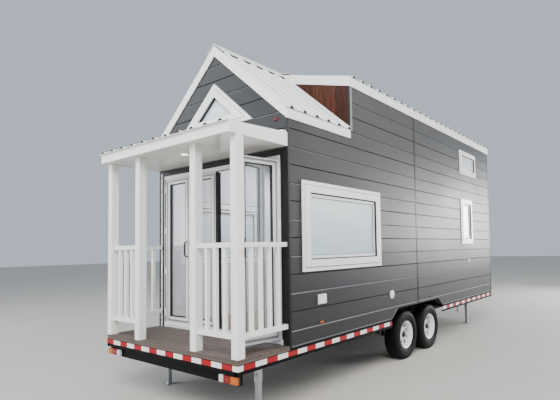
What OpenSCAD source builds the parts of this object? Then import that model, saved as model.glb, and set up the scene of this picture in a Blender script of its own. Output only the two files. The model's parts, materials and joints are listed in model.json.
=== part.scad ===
// Tiny house on a tandem-axle trailer, with a covered porch at one end.
// Millimetres. +Z is up and the ground is z = 0. The porch faces -Y, the hitch
// points to +Y, and x = 0 is the centreline. The origin is the middle of the footprint.

/* [House] */
// Width over the side walls
house_w = 2360; // [2000:10:2900]
// Length from the front edge of the porch deck to the rear wall
house_l = 7490; // [7000:10:9200]
// Thickness of the walls
wall_t = 100; // [85:5:120]
// Height of the side walls in the low front part
low_wall_h = 2420; // [2350:10:2900]
// Height of the side walls in the raised rear part
high_wall_h = 3101; // [3000:10:3700]
// Length of the low front part, from the front wall to the raised part
low_part_l = 1200; // [1000:10:1500]
// Thickness of the plate that the walls stand on
plate_t = 30; // [20:1:45]
// Thickness of the finished floor on the plate
floor_t = 30; // [15:1:45]

/* [Roof] */
// Pitch of the front gable in degrees
steep_pitch = 40; // [35:1:45]
// Thickness of the roof, measured upright
roof_t = 125; // [90:1:150]
// Height of the ribs in the roof sheet
rib_h = 22; // [15:1:30]
// Width of a rib
rib_w = 30; // [20:1:40]
// Distance from rib to rib
rib_step = 218; // [180:2:260]
// Thickness of the white edge boards
board_t = 15; // [10:1:20]
// Width of one side of the ridge cap
cap_w = 150; // [120:5:200]
// Thickness of the ridge cap
cap_t = 6; // [3:1:10]

/* [Porch] */
// Depth of the porch, from the front edge of the deck to the front wall
porch_d = 710; // [650:10:900]
// Thickness of the deck boards
deck_t = 50; // [30:1:60]
// How far the porch roof stands out in front of the deck
porch_over = 90; // [60:5:150]
// Height of the underside of the porch roof above the deck
porch_h = 2095; // [2080:5:2300]
// Height of the edge boards of the porch roof
porch_edge_h = 105; // [90:5:130]
// Fall of the porch roof from the wall to its front edge
porch_fall = 40; // [20:1:60]
// Width of the square posts
post_w = 90; // [70:1:110]
// Clear width between the two middle posts
entry_w = 940; // [800:10:1000]
// Height of the top of the hand rail above the deck
rail_top = 1077; // [900:1:1120]
// Height of the bottom rail's underside above the deck
rail_bottom = 175; // [100:5:220]
// Thickness of the rails
rail_t = 48; // [35:1:60]
// Width of a baluster
baluster_w = 36; // [25:1:45]
// Number of balusters in a front panel
front_balusters = 3; // [2:1:4]
// Number of balusters in a side panel
side_balusters = 4; // [3:1:5]

/* [Folding door] */
// Width of one door leaf
leaf_w = 525; // [480:5:530]
// Height of the door opening above the deck
door_h = 2055; // [2000:5:2060]
// Thickness of a leaf
leaf_t = 45; // [35:1:55]
// Width of a leaf's frame
leaf_stile = 95; // [70:1:110]
// Height of the frame's head over the leaves
head_w = 90; // [50:5:110]
// Height of the frame's sill above the deck
sill_h = 55; // [30:1:70]
// Depth of the fixed frame
frame_depth = 70; // [60:1:90]
// Angle that the folded pair is turned out from the wall
fold_angle = 80; // [76:1:84]
// Gap between a leaf and what is next to it
leaf_gap = 6; // [4:1:10]

/* [Windows] */
// How far a window stands out from the wall
casing_proud = 28; // [20:1:35]
// How far a window frame covers the wall around its hole
casing_lap = 45; // [30:1:60]
// Width of a window's outer frame
casing_w = 88; // [75:1:100]
// Width of the sash in the large window
big_sash_w = 95; // [60:1:110]
// Width of the sash in the small windows
small_sash_w = 58; // [45:1:65]
// Thickness of the glass
glass_t = 12; // [6:1:20]
// Width of the large window
big_win_w = 1670; // [1400:10:1800]
// Height of the large window
big_win_h = 1004; // [800:4:1100]
// Distance from the front wall to the large window
big_win_y = 212; // [150:2:300]
// Height of the large window above the bottom of the wall
big_win_z = 773; // [650:1:850]
// Width of the high window
high_win_w = 910; // [750:10:950]
// Height of the high window
high_win_h = 470; // [400:5:520]
// Height of the high window above the bottom of the wall
high_win_z = 2440; // [2200:5:2480]
// Width of the tall window
tall_win_w = 615; // [500:5:700]
// Height of the tall window
tall_win_h = 875; // [750:5:1000]
// Height of the tall window above the bottom of the wall
tall_win_z = 1065; // [900:5:1200]
// Distance from the rear wall to the front edges of the two rear windows
rear_win_y = 1770; // [1500:10:1900]
// Half of the width of the triangular gable window
gable_win_half = 660; // [500:5:700]
// Width of the gable window's frame
gable_frame_w = 130; // [80:1:150]
// Height of the gable window above the top of the doorway
gable_win_z = 430; // [400:5:500]

/* [Trailer] */
// Height of the channel that runs round the trailer
channel_h = 90; // [75:1:110]
// Width of that channel
channel_w = 50; // [40:1:60]
// Thickness of the channel's steel
channel_t = 6; // [4:1:8]
// Height of the channel's underside above the ground
channel_z = 545; // [530:1:620]
// Height of the two main beams
beam_h = 100; // [80:5:110]
// Width of the two main beams
beam_w = 60; // [50:1:70]
// Distance from the centreline to the middle of a main beam
beam_x = 750; // [600:5:755]
// Number of cross members
cross_count = 11; // [9:1:13]
// Height of the cross members
cross_h = 45; // [35:1:45]
// Height of the lamp beam under the porch deck
lamp_beam_h = 105; // [95:1:115]
// Thickness of the lamp beam
lamp_beam_t = 40; // [20:1:60]
// Height of the reflective tape
tape_h = 51; // [40:1:60]
// Length of the drawbar
drawbar_l = 1150; // [1000:10:1400]
// Half of the distance between the drawbar legs where they meet the house
drawbar_half = 640; // [500:10:700]
// Radius of the coupler's ball socket
ball_r = 29.8; // [25:0.1:32]

/* [Wheels] */
// Diameter of a tyre
tyre_d = 718; // [650:2:730]
// Width of a tyre
tyre_w = 225; // [185:5:235]
// Diameter of a rim over its flange
rim_d = 406; // [350:2:420]
// Distance between the two axles
axle_gap = 830; // [780:5:900]
// Distance from the front edge of the deck to the middle between the axles
axle_y = 3800; // [3600:10:4700]
// Distance from the wall's outer face in to a tyre's outer face
tyre_inset = 20; // [10:1:30]
// Diameter of an axle tube
axle_d = 76; // [60:1:90]
// Room between the tyres and the wheel box
wheel_room = 75; // [50:1:90]
// Thickness of the wheel box
wheel_box_t = 6; // [3:1:10]
// Running clearance at the hubs
hub_gap = 0.5; // [0.3:0.1:1]

/* [Stabiliser legs] */
// Distance from each end of the house to the legs
leg_end = 610; // [450:10:700]
// Outer width of a leg's fixed sleeve
sleeve_w = 60; // [50:1:80]
// Thickness of the sleeve
sleeve_t = 4; // [3:1:6]
// Clearance between the sleeve and the sliding leg
sleeve_gap = 0.5; // [0.3:0.1:1]
// Height of the sleeve's lower end above the ground
sleeve_z = 290; // [260:5:330]
// Width of a foot
foot_w = 130; // [120:5:200]
// Thickness of a foot
foot_t = 12; // [8:1:16]

/* [Fittings] */
// Distance from the front wall to the socket box
socket_y = 548; // [450:2:650]
// Height of the socket box above the bottom of the wall
socket_z = 450; // [350:5:520]
// Width of the socket box
socket_w = 146; // [100:2:180]
// Height of the socket box
socket_h = 112; // [90:2:150]
// Diameter of the round inlet cover
inlet_d = 125; // [90:5:150]
// Distance from the front wall to the round inlet cover
inlet_y = 2180; // [2000:10:2400]
// Height of the round inlet cover above the bottom of the wall
inlet_z = 345; // [280:5:420]

/* [Hidden] */

$fn = 64;
eps = 1;
half_w = house_w / 2;

// Trailer coupler
coupler_l = 250;
coupler_w = 120;
coupler_h = 90;
coupler_lap = 60;
ball_depth = 35;
ball_in = 70;

// How far the ribbed sheet stands out from the front board of the porch roof
porch_sheet_over = 30;

// Places along the trailer: the whole length is centred on y = 0
total_l = porch_sheet_over + porch_over + house_l + drawbar_l + coupler_l;
deck_y = porch_sheet_over + porch_over - total_l / 2;
wall_y = deck_y + porch_d;
rear_y = deck_y + house_l;
step_y = wall_y + low_part_l;
hitch_y = rear_y + drawbar_l;

// Heights
channel_top = channel_z + channel_h;
deck_top = channel_top + deck_t;
wall_z = channel_top + plate_t;
floor_z = wall_z + floor_t;
low_eave_z = wall_z + low_wall_h;
high_eave_z = wall_z + high_wall_h;
door_top = deck_top + door_h;
soffit_z = deck_top + porch_h;

// Roof lines: both roofs share one ridge
steep = tan(steep_pitch);
ridge_under = low_eave_z + half_w * steep;
shallow = (ridge_under - high_eave_z) / half_w;
ridge_top = ridge_under + roof_t;
roof_over_rear = 20;
roof_seam = 0.1; // air between a roof and what it rests on
roof_rear_y = rear_y + roof_over_rear;

// Wheel bay: its top ends short of the tyres and its bottom beyond them
tyre_r = tyre_d / 2;
bay_y = deck_y + axle_y;
bay_top_short = 25;
bay_bottom_beyond = 145;
bay_half_top = axle_gap / 2 + tyre_r - bay_top_short;
bay_half_bottom = axle_gap / 2 + tyre_r + bay_bottom_beyond;
bay_top = tyre_d + wheel_room;
tyre_x = half_w - tyre_inset - tyre_w;
bay_x = tyre_x - wheel_room;

// Colours
charcoal = [0.30, 0.31, 0.32];
white = [0.90, 0.90, 0.88];
black = [0.08, 0.08, 0.09];
brown = [0.42, 0.36, 0.32];
redwood = [0.36, 0.20, 0.14];
steel = [0.72, 0.73, 0.74];

// A block between two corners
module block(low, high) {
    translate(low) cube(high - low);
}

// An outline in x and z, run along y from one place to another
module run_y(from, to) {
    translate([0, to, 0]) rotate([90, 0, 0]) linear_extrude(to - from) children();
}

// An outline in y and z, run along x from one place to another
module run_x(from, to) {
    translate([from, 0, 0]) rotate([90, 0, 90]) linear_extrude(to - from) children();
}

// The children and their mirror image on the other side of the centreline
module both_sides() {
    children();
    mirror([1, 0, 0]) children();
}

// Height of a roof's underside at a distance x from the ridge
function under_z(x, slope) = ridge_under - x * slope;

// ---- Trailer ----

lamp_beam_in = 45;
lamp_beam_y = deck_y + lamp_beam_in;
cross_under = channel_top - cross_h;
beam_under = cross_under - beam_h;

module main_beams() {
    color(black) both_sides()
        block([beam_x - beam_w / 2, lamp_beam_y + lamp_beam_t, beam_under],
              [beam_x + beam_w / 2, rear_y - channel_w - eps, cross_under]);
}

cross_in = 200;
module cross_members() {
    first = deck_y + cross_in;
    last = rear_y - cross_in;
    step = (last - first) / (cross_count - 1);
    full_x = half_w - channel_w - eps;
    color(black) for (i = [0 : cross_count - 1]) {
        y = first + i * step;
        in_bay = abs(y - bay_y) < bay_half_bottom + beam_w;
        x = in_bay ? bay_x : full_x;
        block([-x, y - beam_w / 2, cross_under], [x, y + beam_w / 2, channel_top]);
    }
}

// Section of the edge channel, with its back at x = 0 and its flanges towards -x
module channel_section() {
    difference() {
        translate([-channel_w, 0]) square([channel_w, channel_h]);
        translate([-channel_w - eps, channel_t])
            square([channel_w - channel_t + eps, channel_h - 2 * channel_t]);
    }
}

module side_channel(from, to) {
    run_y(from, to) translate([half_w - eps, channel_z]) channel_section();
}

// The end channels lie between the side channels
module end_channel() {
    x = half_w - channel_w - eps;
    rotate([90, 0, 90]) translate([0, 0, -x]) linear_extrude(2 * x)
        mirror([1, 0]) channel_section();
}

module perimeter_channel() {
    color(black) {
        both_sides() {
            side_channel(deck_y + eps, bay_y - bay_half_bottom);
            side_channel(bay_y + bay_half_bottom, rear_y - eps);
        }
        translate([0, deck_y + eps, channel_z]) end_channel();
        translate([0, rear_y - eps, channel_z]) mirror([0, 1, 0]) end_channel();
    }
}

lamp_beam_half = half_w - 30;
module lamp_beam() {
    color(black)
        block([-lamp_beam_half, lamp_beam_y, channel_z - lamp_beam_h],
              [lamp_beam_half, lamp_beam_y + lamp_beam_t, channel_z]);
}

// Two converging legs, each cut off square where it meets the coupler
leg_channel_w = 60;
drawbar_in = coupler_w / 2;
module drawbar() {
    color(black) both_sides()
        translate([0, 0, channel_z]) linear_extrude(channel_h) polygon([
            [drawbar_half - leg_channel_w, rear_y - eps],
            [drawbar_half, rear_y - eps],
            [drawbar_in + leg_channel_w, hitch_y],
            [drawbar_in, hitch_y],
            [drawbar_in, hitch_y - coupler_lap]
        ]);
}

module coupler() {
    color(black) difference() {
        block([-coupler_w / 2, hitch_y - coupler_lap, channel_z],
              [coupler_w / 2, hitch_y + coupler_l, channel_z + coupler_h]);
        translate([0, hitch_y + coupler_l - ball_in, channel_z - eps])
            cylinder(r = ball_r, h = ball_depth + eps);
    }
}

// The jack: an inner tube on a round foot, an outer tube, a plate on the drawbar and a crank
jack_y = hitch_y - 150;
jack_inner_d = 48;
jack_outer_d = 60;
jack_outer_z = 240;
jack_outer_top = 745;
jack_top = 1027;
jack_plate_x = 170;
jack_plate_y = 40;
jack_plate_t = 10;
crank_l = 115;
crank_w = 30;
crank_t = 14;
crank_knob_h = 70;
module drawbar_jack() {
    color(steel) translate([0, jack_y, 0]) {
        cylinder(d = foot_w, h = foot_t);
        translate([0, 0, foot_t - eps]) cylinder(d = jack_inner_d, h = jack_top - foot_t + eps);
        translate([0, 0, jack_outer_z]) cylinder(d = jack_outer_d, h = jack_outer_top - jack_outer_z);
        block([-jack_plate_x, -jack_plate_y, channel_top],
              [jack_plate_x, jack_plate_y, channel_top + jack_plate_t]);
        block([-crank_w / 2, -crank_w / 2, jack_top - eps],
              [crank_l + crank_w / 2, crank_w / 2, jack_top + crank_t]);
        translate([crank_l, 0, jack_top]) cylinder(d = crank_w - 6, h = crank_t + crank_knob_h);
    }
}

// Each axle is a tube with a thinner spindle at each end that the hub turns on
spindle_r = 22;
spindle_in = 60;
spindle_end = 55;
module axles() {
    tube_end = tyre_x - spindle_in;
    color(black) for (end = [-1, 1]) translate([0, bay_y + end * axle_gap / 2, tyre_r]) {
        rotate([0, 90, 0]) translate([0, 0, -tube_end]) cylinder(d = axle_d, h = 2 * tube_end);
        both_sides() rotate([0, 90, 0]) translate([0, 0, tube_end - eps])
            cylinder(r = spindle_r, h = spindle_in + tyre_w / 2 + spindle_end + eps);
    }
}

// The springs hang under the main beams and carry the axles
spring_w = 60;
spring_half = 330;
spring_t = 28;
spring_eye = 32;
spring_foot = 60;
module leaf_springs() {
    seat_z = tyre_r + axle_d / 2;
    color(black) both_sides() for (end = [-1, 1])
        run_x(beam_x - spring_w / 2, beam_x + spring_w / 2)
            translate([bay_y + end * axle_gap / 2, 0])
                polygon([
                    [-spring_half, beam_under - spring_eye],
                    [-spring_half, beam_under],
                    [-spring_half + spring_foot, beam_under],
                    [-spring_half + spring_foot, beam_under - spring_eye],
                    [-spring_foot, seat_z + spring_t],
                    [spring_foot, seat_z + spring_t],
                    [spring_half - spring_foot, beam_under - spring_eye],
                    [spring_half - spring_foot, beam_under],
                    [spring_half, beam_under],
                    [spring_half, beam_under - spring_eye],
                    [spring_foot, seat_z],
                    [-spring_foot, seat_z]
                ]);
}

// Outline of the room over the tyres, seen from the side and grown by some thickness
module bay_outline(grow, drop) {
    bottom = bay_half_bottom + grow;
    top = bay_half_top + grow;
    polygon([
        [bay_y - bottom, channel_top - drop], [bay_y - bottom, wall_z],
        [bay_y - top, bay_top + grow], [bay_y + top, bay_top + grow],
        [bay_y + bottom, wall_z], [bay_y + bottom, channel_top - drop]
    ]);
}

// Steel boxes over the tyres, open downwards and outwards
module wheel_boxes() {
    color(black) both_sides() difference() {
        run_x(bay_x, half_w - wall_t) bay_outline(wheel_box_t, 0);
        run_x(bay_x + wheel_box_t, half_w) bay_outline(0, eps);
    }
}

tape_up = 35;
tape_end_gap = 2;
module reflective_tape() {
    z = channel_z + tape_up;
    color("red") {
        both_sides() {
            block([half_w - eps, deck_y, z],
                  [half_w, bay_y - bay_half_bottom - tape_end_gap, z + tape_h]);
            block([half_w - eps, bay_y + bay_half_bottom + tape_end_gap, z],
                  [half_w, rear_y, z + tape_h]);
        }
        block([-half_w + eps, deck_y, z], [half_w - eps, deck_y + eps, z + tape_h]);
    }
}

lamp_w = 260;
lamp_h = 75;
marker_w = 60;
marker_h = 24;
marker_t = 14;
marker_z = wall_z + 182;
front_marker_y = wall_y + 533;
rear_marker_y = bay_y + 405;
gable_marker_x = half_w - 195;
gable_marker_z = low_eave_z - 5;
gable_marker_h = 30;
module lamps() {
    lamp_x = half_w - 20 - lamp_w;
    lamp_z = channel_z - lamp_h - 18;
    color("red") both_sides() {
        block([lamp_x, lamp_beam_y - 40, lamp_z], [lamp_x + lamp_w, lamp_beam_y, lamp_z + lamp_h]);
        for (y = [front_marker_y, rear_marker_y])
            block([half_w, y - marker_w / 2, marker_z],
                  [half_w + marker_t, y + marker_w / 2, marker_z + marker_h]);
        block([gable_marker_x, wall_y - marker_t, gable_marker_z],
              [gable_marker_x + marker_w, wall_y, gable_marker_z + gable_marker_h]);
    }
}

// ---- Floor and walls ----

// A full plate under the walls and a finished floor between them, cut out for the wheel boxes
module floor_slab() {
    color(brown) difference() {
        union() {
            block([-half_w + 2 * eps, wall_y, channel_top], [half_w - 2 * eps, rear_y, wall_z]);
            block([-half_w + wall_t, wall_y + frame_depth, wall_z],
                  [half_w - wall_t, rear_y - wall_t, floor_z]);
        }
        both_sides() run_x(bay_x, half_w + eps) bay_outline(wheel_box_t, eps);
    }
}

module porch_deck() {
    color(brown) block([-half_w, deck_y, channel_top], [half_w, wall_y, deck_top]);
}

// Outline of a side wall's end, with its top cut to the slope of the roof
module wall_section(eave_z, slope) {
    polygon([
        [half_w - wall_t, wall_z], [half_w, wall_z],
        [half_w, eave_z - roof_seam], [half_w - wall_t, eave_z + wall_t * slope - roof_seam]
    ]);
}

// A hole for a window whose frame has its lower front corner at y, z
module window_hole(y, z, w, h) {
    block([half_w - wall_t - eps, y + casing_lap, z + casing_lap],
          [half_w + eps, y + w - casing_lap, z + h - casing_lap]);
}

big_y = wall_y + big_win_y;
rear_win_at = rear_y - rear_win_y;

module side_wall() {
    difference() {
        union() {
            run_y(wall_y + wall_t, step_y) wall_section(low_eave_z, steep);
            run_y(step_y, rear_y - wall_t) wall_section(high_eave_z, shallow);
        }
        window_hole(big_y, wall_z + big_win_z, big_win_w, big_win_h);
        window_hole(rear_win_at, wall_z + high_win_z, high_win_w, high_win_h);
        window_hole(rear_win_at, wall_z + tall_win_z, tall_win_w, tall_win_h);
        run_x(half_w - wall_t - eps, half_w + eps) bay_outline(0, eps);
    }
}

module right_wall() {
    color(charcoal) side_wall();
}

module left_wall() {
    color(charcoal) mirror([1, 0, 0]) side_wall();
}

module rear_wall() {
    color(charcoal) run_y(rear_y - wall_t, rear_y) polygon([
        [-half_w, wall_z], [half_w, wall_z], [half_w, high_eave_z],
        [0, ridge_under], [-half_w, high_eave_z]
    ]);
}

module front_pier() {
    block([half_w - wall_t, wall_y, wall_z], [half_w, wall_y + wall_t, door_top]);
}

module front_wall_right() {
    color(charcoal) front_pier();
}

module front_wall_left() {
    color(white) mirror([1, 0, 0]) front_pier();
}

// Gable window outline, shrunk on every side by inset
function gable_half(inset) = gable_win_half - inset / tan(steep_pitch / 2);
module gable_triangle(inset) {
    z = door_top + gable_win_z + inset;
    polygon([[-gable_half(inset), z], [gable_half(inset), z], [0, z + gable_half(inset) * steep]]);
}

module front_gable() {
    color(charcoal) run_y(wall_y, wall_y + wall_t) difference() {
        polygon([
            [-half_w, door_top], [half_w, door_top], [half_w, low_eave_z],
            [0, ridge_under], [-half_w, low_eave_z]
        ]);
        gable_triangle(casing_lap);
    }
}

// The triangles between the steep roof and the raised roof, from a little beside the ridge
cheek_near = 60;
module cheek_walls() {
    near = cheek_near;
    far = half_w - wall_t;
    color(redwood) both_sides() run_y(step_y, step_y + wall_t) polygon([
        [near, under_z(near, steep)], [far, under_z(far, steep)],
        [far, under_z(far, shallow) - roof_seam], [near, under_z(near, shallow) - roof_seam]
    ]);
}

// ---- Roofs ----

// One roof slope: a slab with raised ribs that run down from the ridge
module roof_slope(from, to, slope, step) {
    run_y(from, to) polygon([
        [0, ridge_under], [half_w, under_z(half_w, slope)],
        [half_w, under_z(half_w, slope) + roof_t], [0, ridge_top]
    ]);
    count = floor((to - from - 2 * rib_w) / step);
    first = (to - from - count * step - rib_w) / 2;
    for (i = [0 : count])
        run_y(from + first + i * step, from + first + i * step + rib_w) polygon([
            [0, ridge_top - roof_t / 2], [half_w, under_z(half_w, slope) + roof_t / 2],
            [half_w, under_z(half_w, slope) + roof_t + rib_h], [0, ridge_top + rib_h]
        ]);
}

module gable_roof_right() {
    color(white) roof_slope(wall_y, step_y, steep, rib_step);
}

module gable_roof_left() {
    color(white) mirror([1, 0, 0]) roof_slope(wall_y, step_y, steep, rib_step);
}

module main_roof_right() {
    color(white) roof_slope(step_y, roof_rear_y, shallow, rib_step);
}

module main_roof_left() {
    color(white) mirror([1, 0, 0]) roof_slope(step_y, roof_rear_y, shallow, rib_step);
}

// A folded cap that lies on the ribs
module cap_length(from, to, slope) {
    top = ridge_top + rib_h + cap_t;
    under = top - cap_t + roof_seam;
    run_y(from, to) polygon([
        [0, top], [cap_w, top - cap_w * slope], [cap_w, under - cap_w * slope],
        [0, under], [-cap_w, under - cap_w * slope], [-cap_w, top - cap_w * slope]
    ]);
}

module ridge_cap() {
    color(white) {
        cap_length(wall_y - board_t, step_y - board_t - 2, steep);
        cap_length(step_y - board_t, roof_rear_y + board_t, shallow);
    }
}

// White boards along the edges of the front gable
board_drop = 5;
module gable_boards() {
    color(white) both_sides() {
        run_y(wall_y - board_t, wall_y) polygon([
            [0, ridge_under], [half_w, low_eave_z], [half_w, low_eave_z + roof_t], [0, ridge_top]
        ]);
        block([half_w, wall_y - board_t, low_eave_z - board_drop],
              [half_w + board_t, step_y - board_t, low_eave_z + roof_t - 25]);
    }
}

// White boards along the edges of the raised roof
module main_boards() {
    meet = roof_t / (steep - shallow);
    near = 20;
    color(white) both_sides() {
        run_y(step_y - board_t, step_y) polygon([
            [near, under_z(near, shallow) + roof_t], [near, under_z(near, steep) + roof_t + roof_seam],
            [meet, under_z(meet, shallow) + roof_seam],
            [half_w, high_eave_z], [half_w, high_eave_z + roof_t]
        ]);
        run_y(roof_rear_y, roof_rear_y + board_t) polygon([
            [0, ridge_under], [half_w, high_eave_z], [half_w, high_eave_z + roof_t], [0, ridge_top]
        ]);
        block([half_w, step_y - board_t, high_eave_z - board_drop],
              [half_w + board_t, roof_rear_y + board_t, high_eave_z + roof_t - 10]);
    }
}

// ---- Porch ----

porch_front = deck_y - porch_over;
porch_top = soffit_z + porch_edge_h;

// The porch roof: a soffit panel and a ribbed sheet that falls to the front
module porch_roof() {
    x = half_w - board_t;
    count = floor((2 * x - rib_w) / rib_step);
    first = -(count * rib_step + rib_w) / 2;
    color(white) {
        run_x(-x, x) polygon([
            [porch_front + board_t, soffit_z], [wall_y, soffit_z],
            [wall_y, porch_top + porch_fall], [porch_front + board_t, porch_top]
        ]);
        for (i = [0 : count])
            run_x(first + i * rib_step, first + i * rib_step + rib_w) polygon([
                [porch_front - porch_sheet_over, porch_top],
                [porch_front - porch_sheet_over, porch_top + rib_h],
                [wall_y, porch_top + porch_fall + rib_h],
                [wall_y, porch_top + porch_fall - eps],
                [porch_front + board_t + eps, porch_top - eps],
                [porch_front + board_t, porch_top]
            ]);
    }
}

module porch_boards() {
    color(white) {
        block([-half_w + board_t, porch_front, soffit_z],
              [half_w - board_t, porch_front + board_t, porch_top]);
        both_sides() run_x(half_w - board_t, half_w) polygon([
            [porch_front, soffit_z], [wall_y, soffit_z],
            [wall_y, porch_top + porch_fall], [porch_front, porch_top]
        ]);
    }
}

// x of the middle of each post, from the centreline outwards
inner_post_x = entry_w / 2 + post_w / 2;
outer_post_x = half_w - post_w / 2;
module porch_posts() {
    color(white) both_sides() for (x = [inner_post_x, outer_post_x])
        block([x - post_w / 2, deck_y, deck_top], [x + post_w / 2, deck_y + post_w, soffit_z]);
}

// A panel along x, from one post to the next, with its middle on y = 0
module railing(length, balusters) {
    step = length / (balusters + 1);
    block([0, -rail_t / 2, rail_top - rail_t], [length, rail_t / 2, rail_top]);
    block([0, -rail_t / 2, rail_bottom], [length, rail_t / 2, rail_bottom + rail_t]);
    for (i = [1 : balusters])
        block([i * step - baluster_w / 2, -baluster_w / 2, rail_bottom + rail_t / 2],
              [i * step + baluster_w / 2, baluster_w / 2, rail_top - rail_t / 2]);
}

front_panel_l = outer_post_x - inner_post_x - post_w;
side_panel_l = porch_d - post_w;

module front_railing() {
    translate([inner_post_x + post_w / 2, deck_y + post_w / 2, deck_top])
        railing(front_panel_l, front_balusters);
}

module side_railing() {
    translate([outer_post_x, deck_y + post_w, deck_top]) rotate([0, 0, 90])
        railing(side_panel_l, side_balusters);
}

module railing_front_right() {
    color(white) front_railing();
}

module railing_front_left() {
    color(white) mirror([1, 0, 0]) front_railing();
}

module railing_side_right() {
    color(white) side_railing();
}

module railing_side_left() {
    color(white) mirror([1, 0, 0]) side_railing();
}

// ---- Folding door ----

// The door unit stands in the wall, with its outside flush with the wall
door_half = half_w - wall_t;
leaf_zone = 4 * leaf_w;
leaf_z = deck_top + sill_h;
leaf_h = door_h - head_w - sill_h - leaf_gap;
leaf_in = 8;

module door_frame() {
    x = leaf_zone / 2 + leaf_gap;
    color(white) difference() {
        block([-door_half, wall_y, wall_z], [door_half, wall_y + frame_depth, door_top]);
        block([-x, wall_y - eps, leaf_z], [x, wall_y + frame_depth + eps, door_top - head_w]);
    }
}

// A leaf from its hinge edge at x = 0, with its outside at y = 0
module leaf_frame() {
    difference() {
        block([leaf_gap / 2, 0, 0], [leaf_w - leaf_gap / 2, leaf_t, leaf_h]);
        block([leaf_stile, -eps, leaf_stile], [leaf_w - leaf_stile, leaf_t + eps, leaf_h - leaf_stile]);
    }
}

module leaf_glass() {
    block([leaf_stile, (leaf_t - glass_t) / 2, leaf_stile],
          [leaf_w - leaf_stile, (leaf_t + glass_t) / 2, leaf_h - leaf_stile]);
}

// Places of the two leaves that are closed, at the left
module closed_places() {
    for (i = [0, 1])
        translate([-leaf_zone / 2 + i * leaf_w, wall_y + leaf_in, leaf_z]) children();
}

// Places of the folded pair at the right. The first leaf turns out about the right jamb,
// and the second one turns back from the first one's free edge, inside to inside.
module folded_places() {
    along = [-cos(fold_angle), -sin(fold_angle)];
    inward = [-sin(fold_angle), cos(fold_angle)];
    jamb = [leaf_zone / 2, wall_y + leaf_in];
    knuckle = jamb + along * leaf_w + inward * leaf_t;
    translate([jamb[0], jamb[1], leaf_z]) rotate([0, 0, fold_angle]) mirror([1, 0, 0]) children();
    translate([knuckle[0], knuckle[1], leaf_z]) rotate([0, 0, -fold_angle]) mirror([1, 0, 0])
        translate([0, -leaf_t, 0]) children();
}

module closed_leaves() {
    color(white) closed_places() leaf_frame();
}

module folded_leaves() {
    color(white) folded_places() leaf_frame();
}

// ---- Windows ----

// A frame that laps the wall, a body in the hole and a sash; lower front corner at y = z = 0
module window_frame(w, h, sash_w) {
    edge = casing_w + sash_w;
    difference() {
        union() {
            block([half_w, 0, 0], [half_w + casing_proud, w, h]);
            block([half_w - wall_t, casing_lap, casing_lap], [half_w + eps, w - casing_lap, h - casing_lap]);
        }
        block([half_w - wall_t - eps, edge, edge], [half_w + casing_proud + eps, w - edge, h - edge]);
    }
}

pane_in = 30;
module window_pane(w, h, sash_w) {
    x = half_w - pane_in;
    edge = casing_w + sash_w;
    block([x - glass_t, edge, edge], [x, w - edge, h - edge]);
}

module big_windows() {
    color(white) both_sides() translate([0, big_y, wall_z + big_win_z])
        window_frame(big_win_w, big_win_h, big_sash_w);
}

module high_windows() {
    color(white) both_sides() translate([0, rear_win_at, wall_z + high_win_z])
        window_frame(high_win_w, high_win_h, small_sash_w);
}

module tall_windows() {
    color(white) both_sides() translate([0, rear_win_at, wall_z + tall_win_z])
        window_frame(tall_win_w, tall_win_h, small_sash_w);
}

module gable_window() {
    color(white) difference() {
        union() {
            run_y(wall_y - casing_proud, wall_y) gable_triangle(0);
            run_y(wall_y - eps, wall_y + wall_t) gable_triangle(casing_lap);
        }
        run_y(wall_y - casing_proud - eps, wall_y + wall_t + eps) gable_triangle(gable_frame_w);
    }
}

module glass() {
    color([0.6, 0.75, 0.8, 0.5]) {
        closed_places() leaf_glass();
        folded_places() leaf_glass();
        run_y(wall_y + pane_in, wall_y + pane_in + glass_t) gable_triangle(gable_frame_w);
        both_sides() {
            translate([0, big_y, wall_z + big_win_z])
                window_pane(big_win_w, big_win_h, big_sash_w);
            translate([0, rear_win_at, wall_z + high_win_z])
                window_pane(high_win_w, high_win_h, small_sash_w);
            translate([0, rear_win_at, wall_z + tall_win_z])
                window_pane(tall_win_w, tall_win_h, small_sash_w);
        }
    }
}

// A socket box and a round inlet cover on the right wall
socket_t = 25;
inlet_t = 20;
module wall_fittings() {
    color(white) {
        translate([half_w, wall_y + socket_y, wall_z + socket_z])
            block([0, -socket_w / 2, -socket_h / 2], [socket_t, socket_w / 2, socket_h / 2]);
        translate([half_w, wall_y + inlet_y, wall_z + inlet_z]) rotate([0, 90, 0])
            cylinder(d = inlet_d, h = inlet_t);
    }
}

// ---- Stabiliser legs ----

front_leg_y = deck_y + leg_end;
rear_leg_y = rear_y - leg_end;
leg_x = beam_x + (beam_w + sleeve_w) / 2;

module leg_sleeves() {
    color(steel) both_sides() for (y = [front_leg_y, rear_leg_y]) {
        outer = sleeve_w / 2;
        inner = outer - sleeve_t;
        translate([leg_x, y, 0]) difference() {
            block([-outer, -outer, sleeve_z], [outer, outer, cross_under]);
            block([-inner, -inner, sleeve_z - eps], [inner, inner, cross_under + eps]);
        }
    }
}

leg_in_sleeve = 60;
module sliding_leg(side, y) {
    w = sleeve_w - 2 * sleeve_t - 2 * sleeve_gap;
    leg_top = sleeve_z + leg_in_sleeve;
    color(steel) translate([side * leg_x, y, 0]) {
        block([-foot_w / 2, -foot_w / 2, 0], [foot_w / 2, foot_w / 2, foot_t]);
        block([-w / 2, -w / 2, foot_t - eps], [w / 2, w / 2, leg_top]);
    }
}

module leg_front_right() {
    sliding_leg(1, front_leg_y);
}

module leg_front_left() {
    sliding_leg(-1, front_leg_y);
}

module leg_rear_right() {
    sliding_leg(1, rear_leg_y);
}

module leg_rear_left() {
    sliding_leg(-1, rear_leg_y);
}

// ---- Wheels ----

bead_air = 0.5; // air between a tyre and the seat of its rim

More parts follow.
